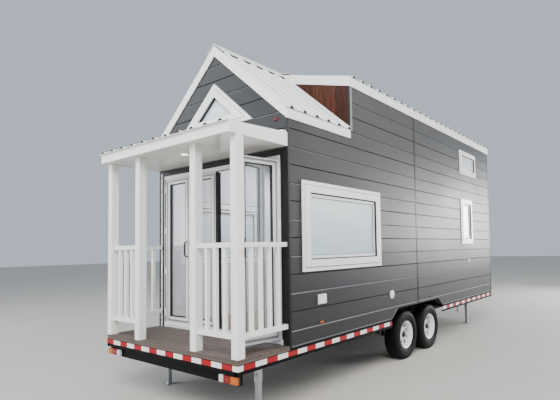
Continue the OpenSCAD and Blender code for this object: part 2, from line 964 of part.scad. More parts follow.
// Half section of the tyre, with its radius along x and its width along y
module tyre_section() {
    r = tyre_r;
    bead = rim_d / 2 - 12 + bead_air;
    w = tyre_w / 2;
    polygon([
        [bead, -w + 28], [bead + 30, -w + 10], [bead + 80, -w], [r - 40, -w + 6], [r - 12, -w + 22],
        [r, -w + 45], [r, w - 45], [r - 12, w - 22], [r - 40, w - 6], [bead + 80, w],
        [bead + 30, w - 10], [bead, w - 28]
    ]);
}

// The middle of a wheel at a place along the trailer, on the right or the left side
module at_wheel(side, end) {
    translate([side * (half_w - tyre_inset - tyre_w / 2), bay_y + end * axle_gap / 2, tyre_r])
        rotate([0, 90 * side, 0]) children();
}

module tyre(side, end) {
    color(black) at_wheel(side, end) rotate_extrude() tyre_section();
}

// Rim barrel, dished disc with eight hand holes, and a hub that turns on the spindle
hub_d = 120;
hub_l = 76;
hand_hole_d = 34;
module rim(side, end) {
    seat_r = rim_d / 2 - 12;
    w = tyre_w / 2 - 28;
    color(white) at_wheel(side, end) {
        difference() {
            union() {
                rotate_extrude() polygon([
                    [seat_r - 8, -w], [seat_r, -w], [seat_r, w], [rim_d / 2, w + 8], [rim_d / 2, w + 12],
                    [seat_r - 8, w + 6]
                ]);
                translate([0, 0, w - 50]) cylinder(r = seat_r - 4, h = 10);
                translate([0, 0, w + 10 - hub_l]) cylinder(d = hub_d, h = hub_l);
            }
            for (i = [0 : 7]) rotate([0, 0, i * 45]) translate([seat_r * 0.72, 0, w - 60])
                cylinder(d = hand_hole_d, h = 30);
            translate([0, 0, -tyre_w]) cylinder(r = spindle_r + hub_gap, h = tyre_w + w - 10);
        }
    }
}

module tyre_front_right() { tyre(1, -1); }
module tyre_front_left() { tyre(-1, -1); }
module tyre_rear_right() { tyre(1, 1); }
module tyre_rear_left() { tyre(-1, 1); }
module rim_front_right() { rim(1, -1); }
module rim_front_left() { rim(-1, -1); }
module rim_rear_right() { rim(1, 1); }
module rim_rear_left() { rim(-1, 1); }

main_beams();
cross_members();
perimeter_channel();
lamp_beam();
drawbar();
coupler();
drawbar_jack();
axles();
leaf_springs();
wheel_boxes();
reflective_tape();
lamps();
floor_slab();
porch_deck();
right_wall();
left_wall();
rear_wall();
front_wall_right();
front_wall_left();
front_gable();
cheek_walls();
gable_roof_right();
gable_roof_left();
main_roof_right();
main_roof_left();
ridge_cap();
gable_boards();
main_boards();
porch_roof();
porch_boards();
porch_posts();
railing_front_right();
railing_front_left();
railing_side_right();
railing_side_left();
door_frame();
closed_leaves();
folded_leaves();
big_windows();
high_windows();
tall_windows();
gable_window();
glass();
wall_fittings();
leg_sleeves();
leg_front_right();
leg_front_left();
leg_rear_right();
leg_rear_left();
tyre_front_right();
rim_front_right();
tyre_front_left();
rim_front_left();
tyre_rear_right();
rim_rear_right();
tyre_rear_left();
rim_rear_left();
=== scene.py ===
"""Tiny house on wheels: its siding, roofs, porch, folding door, windows, trailer and wheels."""
import json
import math

import bmesh
import bpy
from mathutils import Matrix, Vector


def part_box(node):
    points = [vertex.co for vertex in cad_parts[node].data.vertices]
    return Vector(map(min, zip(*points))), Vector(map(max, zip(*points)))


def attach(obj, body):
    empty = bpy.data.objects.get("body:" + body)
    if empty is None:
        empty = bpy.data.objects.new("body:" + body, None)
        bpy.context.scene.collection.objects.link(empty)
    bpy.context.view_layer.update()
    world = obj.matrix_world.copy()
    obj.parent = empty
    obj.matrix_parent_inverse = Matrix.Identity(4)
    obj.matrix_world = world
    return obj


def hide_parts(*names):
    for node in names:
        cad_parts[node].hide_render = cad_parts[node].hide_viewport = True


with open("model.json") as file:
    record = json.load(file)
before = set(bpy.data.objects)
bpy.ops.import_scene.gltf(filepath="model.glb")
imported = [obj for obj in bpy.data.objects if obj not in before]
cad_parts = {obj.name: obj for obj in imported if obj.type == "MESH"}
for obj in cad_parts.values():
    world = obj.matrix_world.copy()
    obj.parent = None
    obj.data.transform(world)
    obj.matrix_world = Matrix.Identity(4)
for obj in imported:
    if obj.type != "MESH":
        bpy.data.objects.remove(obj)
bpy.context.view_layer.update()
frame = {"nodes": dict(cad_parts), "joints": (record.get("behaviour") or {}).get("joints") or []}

bl_info = {
    "name": "Tiny House on Wheels",
    "version": (1, 0, 0),
    "blender": (4, 5, 0),
    "location": "3D View > Sidebar > Tiny House",
    "description": "Builds the visible pieces of a tiny house on a trailer",
    "category": "Object",
}


def low(node):
    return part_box(node)[0]


def high(node):
    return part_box(node)[1]


# Places that the frame gives, in metres
HALF_W = high("right_wall").x
WALL_Y = low("front_wall_right").y
STEP_Y = low("cheek_walls").y
REAR_Y = high("rear_wall").y
WALL_Z = low("rear_wall").z
WALL_T = REAR_Y - low("rear_wall").y
FLOOR_Z = high("floor_slab").z
DECK_Y = low("porch_deck").y
DECK_UNDER = low("porch_deck").z
DECK_TOP = high("porch_deck").z
DOOR_TOP = high("front_wall_right").z
RIDGE_UNDER = high("rear_wall").z
LOW_EAVE = low("gable_boards").z + 0.005
HIGH_EAVE = low("main_boards").z + 0.005
SOFFIT = low("porch_boards").z
PORCH_FRONT = low("porch_boards").y
ROOF_T = 0.125
STEEP = (RIDGE_UNDER - LOW_EAVE) / HALF_W
SHALLOW = (RIDGE_UNDER - HIGH_EAVE) / HALF_W
ROOF_END = high("main_roof_right").y
BOARD_T = 0.015
RIB_H = 0.022
RIB_RISE = 0.027
SKIN_T = 0.05
FLASHING = 0.004
CAP_W = 0.150
LAP = 0.045
LEAF_T = 0.045
FOLD = math.radians(80)
SHARP = math.radians(32)
WINDOWS = ("big_windows", "high_windows", "tall_windows")
ALONG_X = Matrix.Identity(4)
MIRROR_X = Matrix.Scale(-1, 4, (1, 0, 0))

FINISH = {}
ROAD_DUST = (0.22, 0.17, 0.12, 1)
DECK_DUST = (0.30, 0.24, 0.18, 1)


# ---------------------------------------------------------------- sizes and colours

def length(name, description, default):
    return bpy.props.FloatProperty(name=name, description=description, default=default, unit="LENGTH")


class TinyHouseSizes(bpy.types.PropertyGroup):
    course: length("Siding course", "Height of one siding course", 0.195)
    first_groove: length("First groove", "Height of the lowest groove above the ground", 0.833)
    groove: length("Groove depth", "Depth of the grooves in the siding", 0.008)
    rib_step: length("Rib step", "Distance from rib to rib in the roof sheets", 0.218)
    plank: length("Deck plank", "Width of a plank of the porch deck", 0.138)
    tape: length("Tape length", "Length of one colour of the reflective tape", 0.1524)
    cladding: length("Cladding board", "Width of a board of the wooden cladding", 0.195)


def colour(name, description, default):
    return bpy.props.FloatVectorProperty(
        name=name, description=description, default=default, size=4, min=0, max=1, subtype="COLOR")


class TinyHouseColours(bpy.types.PropertyGroup):
    siding: colour("Siding", "Colour of the siding", (0.019, 0.0195, 0.021, 1))
    roof: colour("Roof", "Colour of the roof sheets", (0.88, 0.88, 0.86, 1))
    trim: colour("Trim", "Colour of the boards, posts and rails", (0.84, 0.84, 0.80, 1))
    door: colour("Door", "Colour of the door and window frames", (0.86, 0.86, 0.87, 1))
    deck: colour("Deck", "Colour of the porch planks", (0.074, 0.052, 0.043, 1))
    cladding: colour("Cladding", "Colour of the wooden cladding", (0.046, 0.013, 0.007, 1))
    chassis: colour("Chassis", "Colour of the trailer steel", (0.003, 0.003, 0.0035, 1))
    rim: colour("Rims", "Colour of the wheel rims", (0.86, 0.86, 0.85, 1))


def sizes():
    return bpy.context.scene.tiny_house_sizes


def colours():
    return bpy.context.scene.tiny_house_colours


# ---------------------------------------------------------------- solids

def placed(name, data):
    """A new object in the scene."""
    made = bpy.data.objects.new(name, data)
    bpy.context.scene.collection.objects.link(made)
    return made


class Shape:
    """Closed solids gathered into one mesh, each face with its own finish."""

    def __init__(self):
        self.points = []
        self.faces = []
        self.kinds = []
        self.names = []

    def kind(self, finish):
        if finish not in self.names:
            self.names.append(finish)
        return self.names.index(finish)

    def add(self, points, faces, finishes):
        start = len(self.points)
        self.points += [Vector(p) for p in points]
        if isinstance(finishes, str):
            finishes = [finishes] * len(faces)
        for face, finish in zip(faces, finishes):
            self.faces.append([start + i for i in face])
            self.kinds.append(self.kind(finish))

    def join(self, other, *matrices):
        """Copies of another shape, one for each matrix."""
        for matrix in matrices:
            self.add([matrix @ p for p in other.points], other.faces,
                     [other.names[k] for k in other.kinds])

    def prism(self, outline, axis, start, end, finish, caps=None):
        """A flat outline carried along X, Y or Z; its points hold the other two coordinates in order."""
        at = "XYZ".index(axis)
        n = len(outline)
        points = []
        for place in (start, end):
            for p in outline:
                q = list(p)
                q.insert(at, place)
                points.append(q)
        sides = [finish] * n if isinstance(finish, str) else list(finish)
        self.hull(points[:n], points[n:], sides + [caps or sides[0]] * 2)

    def block(self, a, b, finish):
        self.prism([(a[0], a[1]), (b[0], a[1]), (b[0], b[1]), (a[0], b[1])], "Z", a[2], b[2], finish)

    def hull(self, bottom, top, finish):
        """Joins two outlines with the same number of corners."""
        n = len(bottom)
        faces = [(i, (i + 1) % n, n + (i + 1) % n, n + i) for i in range(n)]
        self.add(list(bottom) + list(top), faces + [tuple(range(n)), tuple(range(n, 2 * n))], finish)

    def lathe(self, profile, centre, axis, finish, steps=32):
        """A closed half section of (radius, distance along the axis) turned round an axis."""
        at = "XYZ".index(axis)
        other = [i for i in range(3) if i != at]
        points, rings = [], []
        for radius, along in profile:
            count = 1 if radius < 1e-7 else steps
            rings.append([len(points) + i for i in range(count)])
            for i in range(count):
                angle = 2 * math.pi * i / steps
                p = list(centre)
                p[at] += along
                p[other[0]] += radius * math.cos(angle)
                p[other[1]] += radius * math.sin(angle)
                points.append(p)
        faces, kinds = [], []
        names = finish if isinstance(finish, (list, tuple)) else [finish] * len(profile)
        for i, ring in enumerate(rings):
            following = rings[(i + 1) % len(rings)]
            for j in range(steps):
                k = (j + 1) % steps
                if len(ring) == 1 and len(following) == 1:
                    break
                if len(ring) == 1:
                    faces.append((ring[0], following[j], following[k]))
                elif len(following) == 1:
                    faces.append((ring[j], ring[k], following[0]))
                else:
                    faces.append((ring[j], ring[k], following[k], following[j]))
                kinds.append(names[i])
        self.add(points, faces, kinds)

    def pin(self, centre, axis, radius, start, end, finish, steps=12):
        """A round bar along an axis, from start to end of its centre."""
        self.lathe([(0, start), (radius, start), (radius, end), (0, end)], centre, axis, finish, steps)

    def disc(self, centre, axis, radius, thickness, finish, steps=20):
        self.pin(centre, axis, radius, 0, thickness, finish, steps)

    def rod(self, path, radius, finish, sides=10):
        """A round bar along a path of points."""
        path = [Vector(p) for p in path]
        points, faces = [], []
        side = None
        for i, p in enumerate(path):
            way = (path[min(i + 1, len(path) - 1)] - path[max(i - 1, 0)]).normalized()
            if side is None:
                side = way.orthogonal().normalized()
            side = (side - way * side.dot(way)).normalized()
            up = way.cross(side)
            for j in range(sides):
                a = 2 * math.pi * j / sides
                points.append(p + (side * math.cos(a) + up * math.sin(a)) * radius)
        for i in range(len(path) - 1):
            for j in range(sides):
                k = (j + 1) % sides
                faces.append((i * sides + j, i * sides + k, (i + 1) * sides + k, (i + 1) * sides + j))
        last = (len(path) - 1) * sides
        faces += [tuple(range(sides)), tuple(range(last, last + sides))]
        self.add(points, faces, finish)

    def ring(self, place, outer, inner, near, far, finish):
        """A mitred frame between two loops of (u, v), as thick as from near to far."""
        n = len(outer)
        for i in range(n):
            j = (i + 1) % n
            self.pane(place, [outer[i], outer[j], inner[j], inner[i]], near, far, finish)

    def pane(self, place, loop, near, far, finish):
        self.hull([place(u, v, near) for u, v in loop], [place(u, v, far) for u, v in loop], finish)

    def doubled(self):
        """This shape with its mirror image on the other side of the house."""
        both = Shape()
        both.join(self, ALONG_X, MIRROR_X)
        return both

    def make(self, name):
        mesh = bpy.data.meshes.new(name)
        mesh.from_pydata(self.points, [], self.faces)
        for finish in self.names:
            mesh.materials.append(FINISH[finish])
        mesh.polygons.foreach_set("material_index", self.kinds)
        solid = bmesh.new()
        solid.from_mesh(mesh)
        bmesh.ops.recalc_face_normals(solid, faces=solid.faces)
        solid.to_mesh(mesh)
        solid.free()
        return placed(name, mesh)


def carve(piece, cutter, operation="DIFFERENCE"):
    """Cuts a piece with a shape and leaves the result in its mesh."""
    tool = cutter.make("cutter")
    change = piece.modifiers.new("carve", "BOOLEAN")
    change.object = tool
    change.operation = operation
    change.solver = "EXACT"
    change.material_mode = "TRANSFER"
    bpy.context.view_layer.update()
    result = bpy.data.meshes.new_from_object(
        piece.evaluated_get(bpy.context.evaluated_depsgraph_get()))
    piece.modifiers.clear()
    piece.data = result
    bpy.data.objects.remove(tool)


def settle(piece, slot, nodes=(), body="house", bevel=0.0, steps=2):
    """Gives a piece its edges, its body and the nodes that it stands for; the slot is not used."""
    mesh = piece.data
    mesh.polygons.foreach_set("use_smooth", [True] * len(mesh.polygons))
    mesh.set_sharp_from_angle(angle=SHARP)
    if bevel:
        edge = piece.modifiers.new("edges", "BEVEL")
        edge.width = bevel
        edge.segments = steps
        edge.limit_method = "ANGLE"
        edge.angle_limit = SHARP
        edge.harden_normals = True
    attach(piece, body)
    if nodes:
        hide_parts(*nodes)


def around(count, radius, turn=0.0):
    """Points spaced round the X axis."""
    angles = [2 * math.pi * (i + turn) / count for i in range(count)]
    return [(0, radius * math.sin(angle), radius * math.cos(angle)) for angle in angles]


def rect(u0, v0, u1, v1):
    return [(u0, v0), (u1, v0), (u1, v1), (u0, v1)]


def shrink(loop, d):
    """A convex loop that turns anticlockwise, moved in by a distance on every side."""
    lines = []
    for i, a in enumerate(loop):
        b = loop[(i + 1) % len(loop)]
        way = Vector((b[0] - a[0], b[1] - a[1])).normalized()
        inward = Vector((-way.y, way.x))
        lines.append((Vector(a) + inward * d, way))
    result = []
    for i in range(len(lines)):
        p, u = lines[i - 1]
        q, v = lines[i]
        t = ((q - p).x * v.y - (q - p).y * v.x) / (u.x * v.y - u.y * v.x)
        result.append(tuple(p + u * t))
    return result


def under(x, slope):
    """Height of a roof's underside at a distance from the ridge."""
    return RIDGE_UNDER - abs(x) * slope


def band(slope, near, far, bottom, top):
    """Outline of a layer that follows a slope, with its heights above the underside."""
    a, b = under(near, slope), under(far, slope)
    return [(near, a + bottom), (far, b + bottom), (far, b + top), (near, a + top)]


# ---------------------------------------------------------------- finishes

def node(tree, kind, inputs=None, **settings):
    """Adds a shader node; an input that is a socket is linked, and any other is a value."""
    made = tree.nodes.new(kind)
    for name, value in settings.items():
        setattr(made, name, value)
    for key, value in (inputs or {}).items():
        if isinstance(value, bpy.types.NodeSocket):
            tree.links.new(value, made.inputs[key])
        else:
            made.inputs[key].default_value = value
    return made


def new_group(name, inputs, outputs):
    tree = bpy.data.node_groups.new(name, "ShaderNodeTree")
    kinds = {"F": "NodeSocketFloat", "C": "NodeSocketColor", "V": "NodeSocketVector"}
    for side, entries in (("INPUT", inputs), ("OUTPUT", outputs)):
        for label, kind in entries:
            tree.interface.new_socket(label, in_out=side, socket_type=kinds[kind])
    source = tree.nodes.new("NodeGroupInput")
    sink = tree.nodes.new("NodeGroupOutput")
    return tree, source.outputs, sink.inputs


def math_node(tree, operation, a, b=0.0, c=0.0, clamp=False):
    return node(tree, "ShaderNodeMath", {0: a, 1: b, 2: c}, operation=operation, use_clamp=clamp).outputs[0]


def mix_colour(tree, factor, a, b):
    return node(tree, "ShaderNodeMix", {0: factor, 6: a, 7: b}, data_type="RGBA").outputs[2]


def noise(tree, where, scale, **fixed):
    return node(tree, "ShaderNodeTexNoise", {"Vector": where, "Scale": scale, **fixed}).outputs[0]


def vector_node(tree, operation, a, b):
    return node(tree, "ShaderNodeVectorMath", {0: a, 1: b}, operation=operation).outputs


def shaded(tree, base, swing, amount, out):
    """The base colour made lighter and darker by a swing from -1 to 1."""
    share = math_node(tree, "MULTIPLY_ADD", swing, amount, 1.0)
    scaled = node(tree, "ShaderNodeVectorMath", {0: base, "Scale": share}, operation="SCALE")
    tree.links.new(scaled.outputs[0], out)


def position(tree):
    return node(tree, "ShaderNodeTexCoord").outputs["Object"]


def make_paint_group():
    """Paint or moulded skin: slight mottling, fine orange peel and a little change of gloss."""
    tree, given, out = new_group(
        "paint_skin", [("Color", "C"), ("Shade", "F"), ("Patch", "F"), ("Peel", "F"), ("Gloss", "F")],
        [("Color", "C"), ("Roughness", "F"), ("Height", "F")])
    where = position(tree)
    patch = noise(tree, where, given["Patch"], Detail=4.0)
    swing = math_node(tree, "MULTIPLY_ADD", patch, 2.0, -1.0)
    shaded(tree, given["Color"], swing, given["Shade"], out["Color"])
    rough = math_node(tree, "MULTIPLY_ADD", swing, 0.10, given["Gloss"], clamp=True)
    tree.links.new(rough, out["Roughness"])
    tree.links.new(noise(tree, where, given["Peel"], Detail=2.0), out["Height"])


def make_dust_group():
    """Road dust that thins out upwards, broken up by noise."""
    tree, given, out = new_group(
        "road_dust", [("Color", "C"), ("Dust", "C"), ("Top", "F"), ("Amount", "F")], [("Color", "C")])
    where = position(tree)
    height = node(tree, "ShaderNodeSeparateXYZ", {0: where}).outputs[2]
    share = math_node(tree, "DIVIDE", height, given["Top"])
    fade = math_node(tree, "SUBTRACT", 1.0, share, clamp=True)
    cloud = noise(tree, where, 9.0, Detail=6.0)
    speck = math_node(tree, "MULTIPLY_ADD", cloud, 2.4, -0.7, clamp=True)
    cover = math_node(tree, "MULTIPLY", math_node(tree, "MULTIPLY", fade, speck), given["Amount"])
    tree.links.new(mix_colour(tree, cover, given["Color"], given["Dust"]), out["Color"])


def make_board_group():
    """Each board of a run gets its own slight tint: the boards follow Step along Way."""
    tree, given, out = new_group(
        "board_tint", [("Color", "C"), ("Way", "V"), ("Step", "F"), ("Start", "F"), ("Amount", "F")],
        [("Color", "C")])
    along = vector_node(tree, "DOT_PRODUCT", position(tree), given["Way"])["Value"]
    moved = math_node(tree, "SUBTRACT", along, given["Start"])
    count = math_node(tree, "FLOOR", math_node(tree, "DIVIDE", moved, given["Step"]))
    chance = node(tree, "ShaderNodeTexWhiteNoise", {"W": count}, noise_dimensions="1D").outputs[0]
    swing = math_node(tree, "MULTIPLY_ADD", chance, 2.0, -1.0)
    shaded(tree, given["Color"], swing, given["Amount"], out["Color"])


def make_grain_group():
    """Wood grain: long streaks and fine pores, drawn out by Stretch."""
    tree, given, out = new_group(
        "wood_grain", [("Light", "C"), ("Dark", "C"), ("Stretch", "V"), ("Scale", "F"), ("Gloss", "F")],
        [("Color", "C"), ("Roughness", "F"), ("Height", "F")])
    where = vector_node(tree, "MULTIPLY", position(tree), given["Stretch"])[0]
    wide = noise(tree, where, given["Scale"], Detail=5.0, Distortion=0.6)
    fine = noise(tree, where, math_node(tree, "MULTIPLY", given["Scale"], 6.0), Detail=3.0)
    both = math_node(tree, "MULTIPLY_ADD", fine, 0.45, math_node(tree, "MULTIPLY", wide, 0.75))
    streak = math_node(tree, "MULTIPLY_ADD", both, 3.2, -1.45, clamp=True)
    tree.links.new(mix_colour(tree, streak, given["Dark"], given["Light"]), out["Color"])
    rough = math_node(tree, "MULTIPLY_ADD", streak, -0.12, given["Gloss"], clamp=True)
    tree.links.new(rough, out["Roughness"])
    tree.links.new(both, out["Height"])


def finish(name, rough, metallic=0.0, **fixed):
    """A material whose shader is returned with its tree; fixed values go on the shader's own sockets."""
    made = bpy.data.materials.new(name)
    made.use_nodes = True
    tree = made.node_tree
    shader = tree.nodes["Principled BSDF"]
    for label, value in {"Roughness": rough, "Metallic": metallic, **fixed}.items():
        shader.inputs[label.replace("_", " ")].default_value = value
    FINISH[name] = made
    return tree, shader


def use_group(tree, group, **values):
    made = node(tree, "ShaderNodeGroup", node_tree=bpy.data.node_groups[group])
    for label, value in values.items():
        if isinstance(value, bpy.types.NodeSocket):
            tree.links.new(value, made.inputs[label])
        else:
            made.inputs[label].default_value = value
    return made.outputs


def roughen(tree, shader, height, strength, distance=0.001):
    bump = node(tree, "ShaderNodeBump", {"Height": height, "Strength": strength, "Distance": distance})
    tree.links.new(bump.outputs[0], shader.inputs["Normal"])


def weathered(tree, shader, tint, board, dust, soil):
    """Links a colour to the shader, through board tints and dust where they are given."""
    if board:
        way, step, start, amount = board
        tint = use_group(tree, "board_tint", Color=tint, Way=way, Step=step, Start=start,
                         Amount=amount)["Color"]
    if dust:
        top, amount = dust
        tint = use_group(tree, "road_dust", Color=tint, Dust=soil, Top=top, Amount=amount)["Color"]
    tree.links.new(tint, shader.inputs["Base Color"])


def painted(name, base, gloss, metallic=0.0, shade=0.05, patch=1.6, peel=220.0, bump=0.15,
            dust=None, board=None, **fixed):
    """Painted or moulded skin, with dust below a height and board tints where they are given."""
    tree, shader = finish(name, gloss, metallic, **fixed)
    skin = use_group(tree, "paint_skin", Color=base, Shade=shade, Patch=patch, Peel=peel, Gloss=gloss)
    weathered(tree, shader, skin["Color"], board, dust, ROAD_DUST)
    tree.links.new(skin["Roughness"], shader.inputs["Roughness"])
    roughen(tree, shader, skin["Height"], bump)
    return tree, shader


def wooden(name, light, dark, stretch, scale, gloss, bump, board=None, dust=None, **fixed):
    """Wood with its grain drawn out by stretch."""
    tree, shader = finish(name, gloss, **fixed)
    grain = use_group(tree, "wood_grain", Light=light, Dark=dark, Stretch=stretch, Scale=scale, Gloss=gloss)
    weathered(tree, shader, grain["Color"], board, dust, DECK_DUST)
    tree.links.new(grain["Roughness"], shader.inputs["Roughness"])
    roughen(tree, shader, grain["Height"], bump, 0.002)


def tinted(base, share):
    return tuple(min(1.0, c * share) for c in base[:3]) + (1.0,)


class TINYHOUSE_OT_finishes(bpy.types.Operator):
    """Makes every paint, metal, wood, glass and rubber of the house"""

    bl_idname = "tiny_house.finishes"
    bl_label = "Finishes"

    def execute(self, context):
        for build in (make_paint_group, make_dust_group, make_board_group, make_grain_group):
            build()
        c, s = colours(), sizes()
        up = (0.0, 0.0, 1.0)
        courses = (up, s.course, s.first_groove, 0.05)
        tree, shader = painted("siding", c.siding, 0.40, shade=0.08, patch=0.9, peel=60.0, bump=0.35,
                               dust=(1.15, 0.05), board=courses, Specular_IOR_Level=0.24)
        streaks = use_group(tree, "wood_grain", Light=(1, 1, 1, 1), Dark=(0.4, 0.4, 0.4, 1),
                            Stretch=(1.2, 1.2, 60.0), Scale=4.0, Gloss=0.45)
        roughen(tree, shader, streaks["Height"], 0.5, 0.002)
        # Joint lips in a much lighter tone of the siding: a painted highlight.
        painted("siding_lip_painted_highlight", tinted(c.siding, 11.0), 0.34, shade=0.06)
        # Darker siding for the trims, also used as painted shade on the groove undersides and on the pier
        # fronts under the porch roof.
        painted("dark_trim_and_painted_shade", tinted(c.siding, 0.55), 0.38, shade=0.06, dust=(1.0, 0.05),
                Specular_IOR_Level=0.2)
        painted("grey_trim", tinted(c.siding, 6.0), 0.34, shade=0.06, dust=(1.0, 0.15))
        painted("roof_sheet", c.roof, 0.36, shade=0.035, patch=0.8)
        painted("roof_edge", tinted(c.roof, 1.0), 0.34, shade=0.03)
        painted("white_trim", c.trim, 0.40, shade=0.035, patch=2.2, peel=90.0, bump=0.25, dust=(0.95, 0.25))
        painted("soffit", tinted(c.trim, 0.98), 0.16, shade=0.03)
        painted("lining", (0.60, 0.61, 0.66, 1), 0.55, shade=0.03)
        painted("door_white", c.door, 0.30, shade=0.03, peel=400.0, bump=0.1, dust=(0.85, 0.2))
        # A grey tone of the door white: painted shade in the leaf recesses.
        painted("door_shade", tinted(c.door, 0.36), 0.34, shade=0.03)
        painted("window_white", tinted(c.door, 0.99), 0.28, shade=0.025, peel=300.0, bump=0.08)
        painted("glass_edge", (0.10, 0.17, 0.18, 1), 0.4, shade=0.1)
        # Black for gaskets, handles and hubs, also used as painted shade on the cut walls of the rim's hand
        # holes.
        painted("gasket", (0.010, 0.010, 0.011, 1), 0.55, shade=0.15, peel=500.0, bump=0.3)
        # Black for foam closures and seals, also used as painted shade in the siding grooves, the open rib
        # ends, the ring round the windows and behind the rim's hand holes.
        painted("closure", (0.008, 0.008, 0.008, 1), 0.85, shade=0.2, peel=700.0, bump=0.8)
        painted("chassis_black", c.chassis, 0.50, shade=0.25, patch=3.0, peel=160.0, bump=0.5,
                dust=(0.75, 0.02), Specular_IOR_Level=0.08)
        painted("galvanised", (0.46, 0.48, 0.49, 1), 0.42, metallic=0.85, shade=0.22, patch=42.0,
                peel=130.0, bump=0.3, dust=(0.35, 0.4))
        painted("bolt_steel", (0.55, 0.56, 0.58, 1), 0.32, metallic=0.9, shade=0.1, patch=60.0)
        painted("handle_steel", (0.62, 0.63, 0.65, 1), 0.22, metallic=0.95, shade=0.06)
        painted("fitting_white", (0.78, 0.78, 0.76, 1), 0.38, shade=0.03, peel=600.0, bump=0.2)
        painted("rim_white", c.rim, 0.28, shade=0.04, dust=(0.75, 0.30), Coat_Weight=0.3)
        painted("tyre", (0.0035, 0.0035, 0.004, 1), 0.62, shade=0.3, patch=18.0, peel=240.0, bump=0.6,
                dust=(0.80, 0.025), Specular_IOR_Level=0.14)
        deck = c.deck
        wooden("deck_wood", tinted(deck, 1.5), tinted(deck, 0.72), (1.0, 22.0, 22.0), 5.0, 0.62, 0.5,
               board=((0.0, 1.0, 0.0), s.plank + 0.006, DECK_Y, 0.10), dust=(0.9, 0.10))
        wooden("deck_edge", tinted(deck, 1.8), tinted(deck, 1.0), (1.0, 22.0, 30.0), 5.0, 0.66, 0.5,
               dust=(0.9, 0.3))
        wooden("red_wood", tinted(c.cladding, 2.2), tinted(c.cladding, 0.30), (30.0, 30.0, 1.6), 3.0, 0.55,
               0.8, board=((1.0, 0.0, 0.0), s.cladding, 0.185, 0.30), Specular_IOR_Level=0.2)
        wooden("floor_wood", (0.30, 0.16, 0.08, 1), (0.13, 0.06, 0.03, 1), (20.0, 1.0, 20.0), 3.0, 0.32,
               0.3, board=((1.0, 0.0, 0.0), 0.19, 0.0, 0.15), Coat_Weight=0.2)
        for label, tone in (("tape_red", (0.36, 0.001, 0.008, 1)), ("tape_white", (0.84, 0.84, 0.83, 1))):
            self.tape(label, tone)
        self.lens("lens_red", (0.26, 0.001, 0.006, 1))
        self.lens("lens_amber", (0.66, 0.14, 0.002, 1))
        self.lens("lens_clear", (0.80, 0.80, 0.78, 1))
        self.glass()
        self.glass_with_painted_reflection()
        tree, shader = finish("light_disc", 0.4)
        glow = noise(tree, position(tree), 30.0)
        tree.links.new(mix_colour(tree, glow, (1.0, 0.93, 0.88, 1), (1.0, 0.98, 0.96, 1)),
                       shader.inputs["Emission Color"])
        shader.inputs["Emission Strength"].default_value = 4.0
        return {"FINISHED"}

    def tape(self, label, tone):
        """Prismatic tape: a fine honeycomb under a glossy film"""
        tree, shader = finish(label, 0.55, Specular_IOR_Level=0.25)
        cells = node(tree, "ShaderNodeTexVoronoi", {"Vector": position(tree), "Scale": 170.0},
                     feature="DISTANCE_TO_EDGE")
        line = math_node(tree, "MULTIPLY", cells.outputs[0], 9.0, clamp=True)
        tint = mix_colour(tree, line, tinted(tone, 0.72), tone)
        weathered(tree, shader, tint, None, (0.9, 0.05), ROAD_DUST)
        roughen(tree, shader, line, 0.3)

    def lens(self, label, tone):
        """A ribbed lamp lens"""
        tree, shader = finish(label, 0.25, Specular_IOR_Level=0.35)
        across, upward = (
            node(tree, "ShaderNodeTexWave", {"Vector": position(tree), "Scale": 26.0, "Distortion": 0.2},
                 bands_direction=way).outputs[1] for way in "XZ")
        both = math_node(tree, "MULTIPLY", across, upward)
        tree.links.new(mix_colour(tree, both, tinted(tone, 0.62), tone), shader.inputs["Base Color"])
        roughen(tree, shader, both, 0.5, 0.002)

    def glass(self):
        """Clear door glass, with the faint ripple of toughened panes"""
        tree, shader = finish("clear_glass", 0.02, Transmission_Weight=0.92, IOR=1.45)
        ripple = noise(tree, position(tree), 2.5)
        tree.links.new(mix_colour(tree, ripple, (0.93, 0.97, 0.97, 1), (1.0, 1.0, 1.0, 1)),
                       shader.inputs["Base Color"])
        roughen(tree, shader, ripple, 0.05)

    def glass_with_painted_reflection(self):
        """Coated window glass with a painted reflection: pale, a little deeper in tone towards its lower
        edge, with soft bands
        """
        tree, shader = finish("coated_glass", 0.22, Specular_IOR_Level=0.5)
        where = position(tree)
        # Soft bands and a fall from pale above to deeper below make a painted reflection of sky and land.
        bands = vector_node(tree, "MULTIPLY", where, (0.5, 0.5, 5.0))[0]
        cloud = noise(tree, bands, 1.6, Detail=7.0, Roughness=0.6)
        folds = vector_node(tree, "MULTIPLY", where, (9.0, 9.0, 0.2))[0]
        drape = noise(tree, folds, 1.0)
        height = node(tree, "ShaderNodeSeparateXYZ", {0: where}).outputs[2]
        fall = node(tree, "ShaderNodeMapRange", {0: height, 1: 1.60, 2: 2.15, 3: 0.0, 4: 1.0}).outputs[0]
        fall = math_node(tree, "MULTIPLY_ADD", fall, 0.75, -0.35)
        mixed = math_node(tree, "MULTIPLY_ADD", cloud, 0.9, fall, clamp=True)
        tone = mix_colour(tree, mixed, (0.42, 0.56, 0.64, 1), (0.70, 0.77, 0.81, 1))
        tone = mix_colour(tree, math_node(tree, "MULTIPLY", drape, 0.30), tone, (0.74, 0.82, 0.85, 1))
        tree.links.new(tone, shader.inputs["Base Color"])
        tree.links.new(math_node(tree, "MULTIPLY_ADD", cloud, 0.08, 0.16), shader.inputs["Roughness"])


# ---------------------------------------------------------------- walls

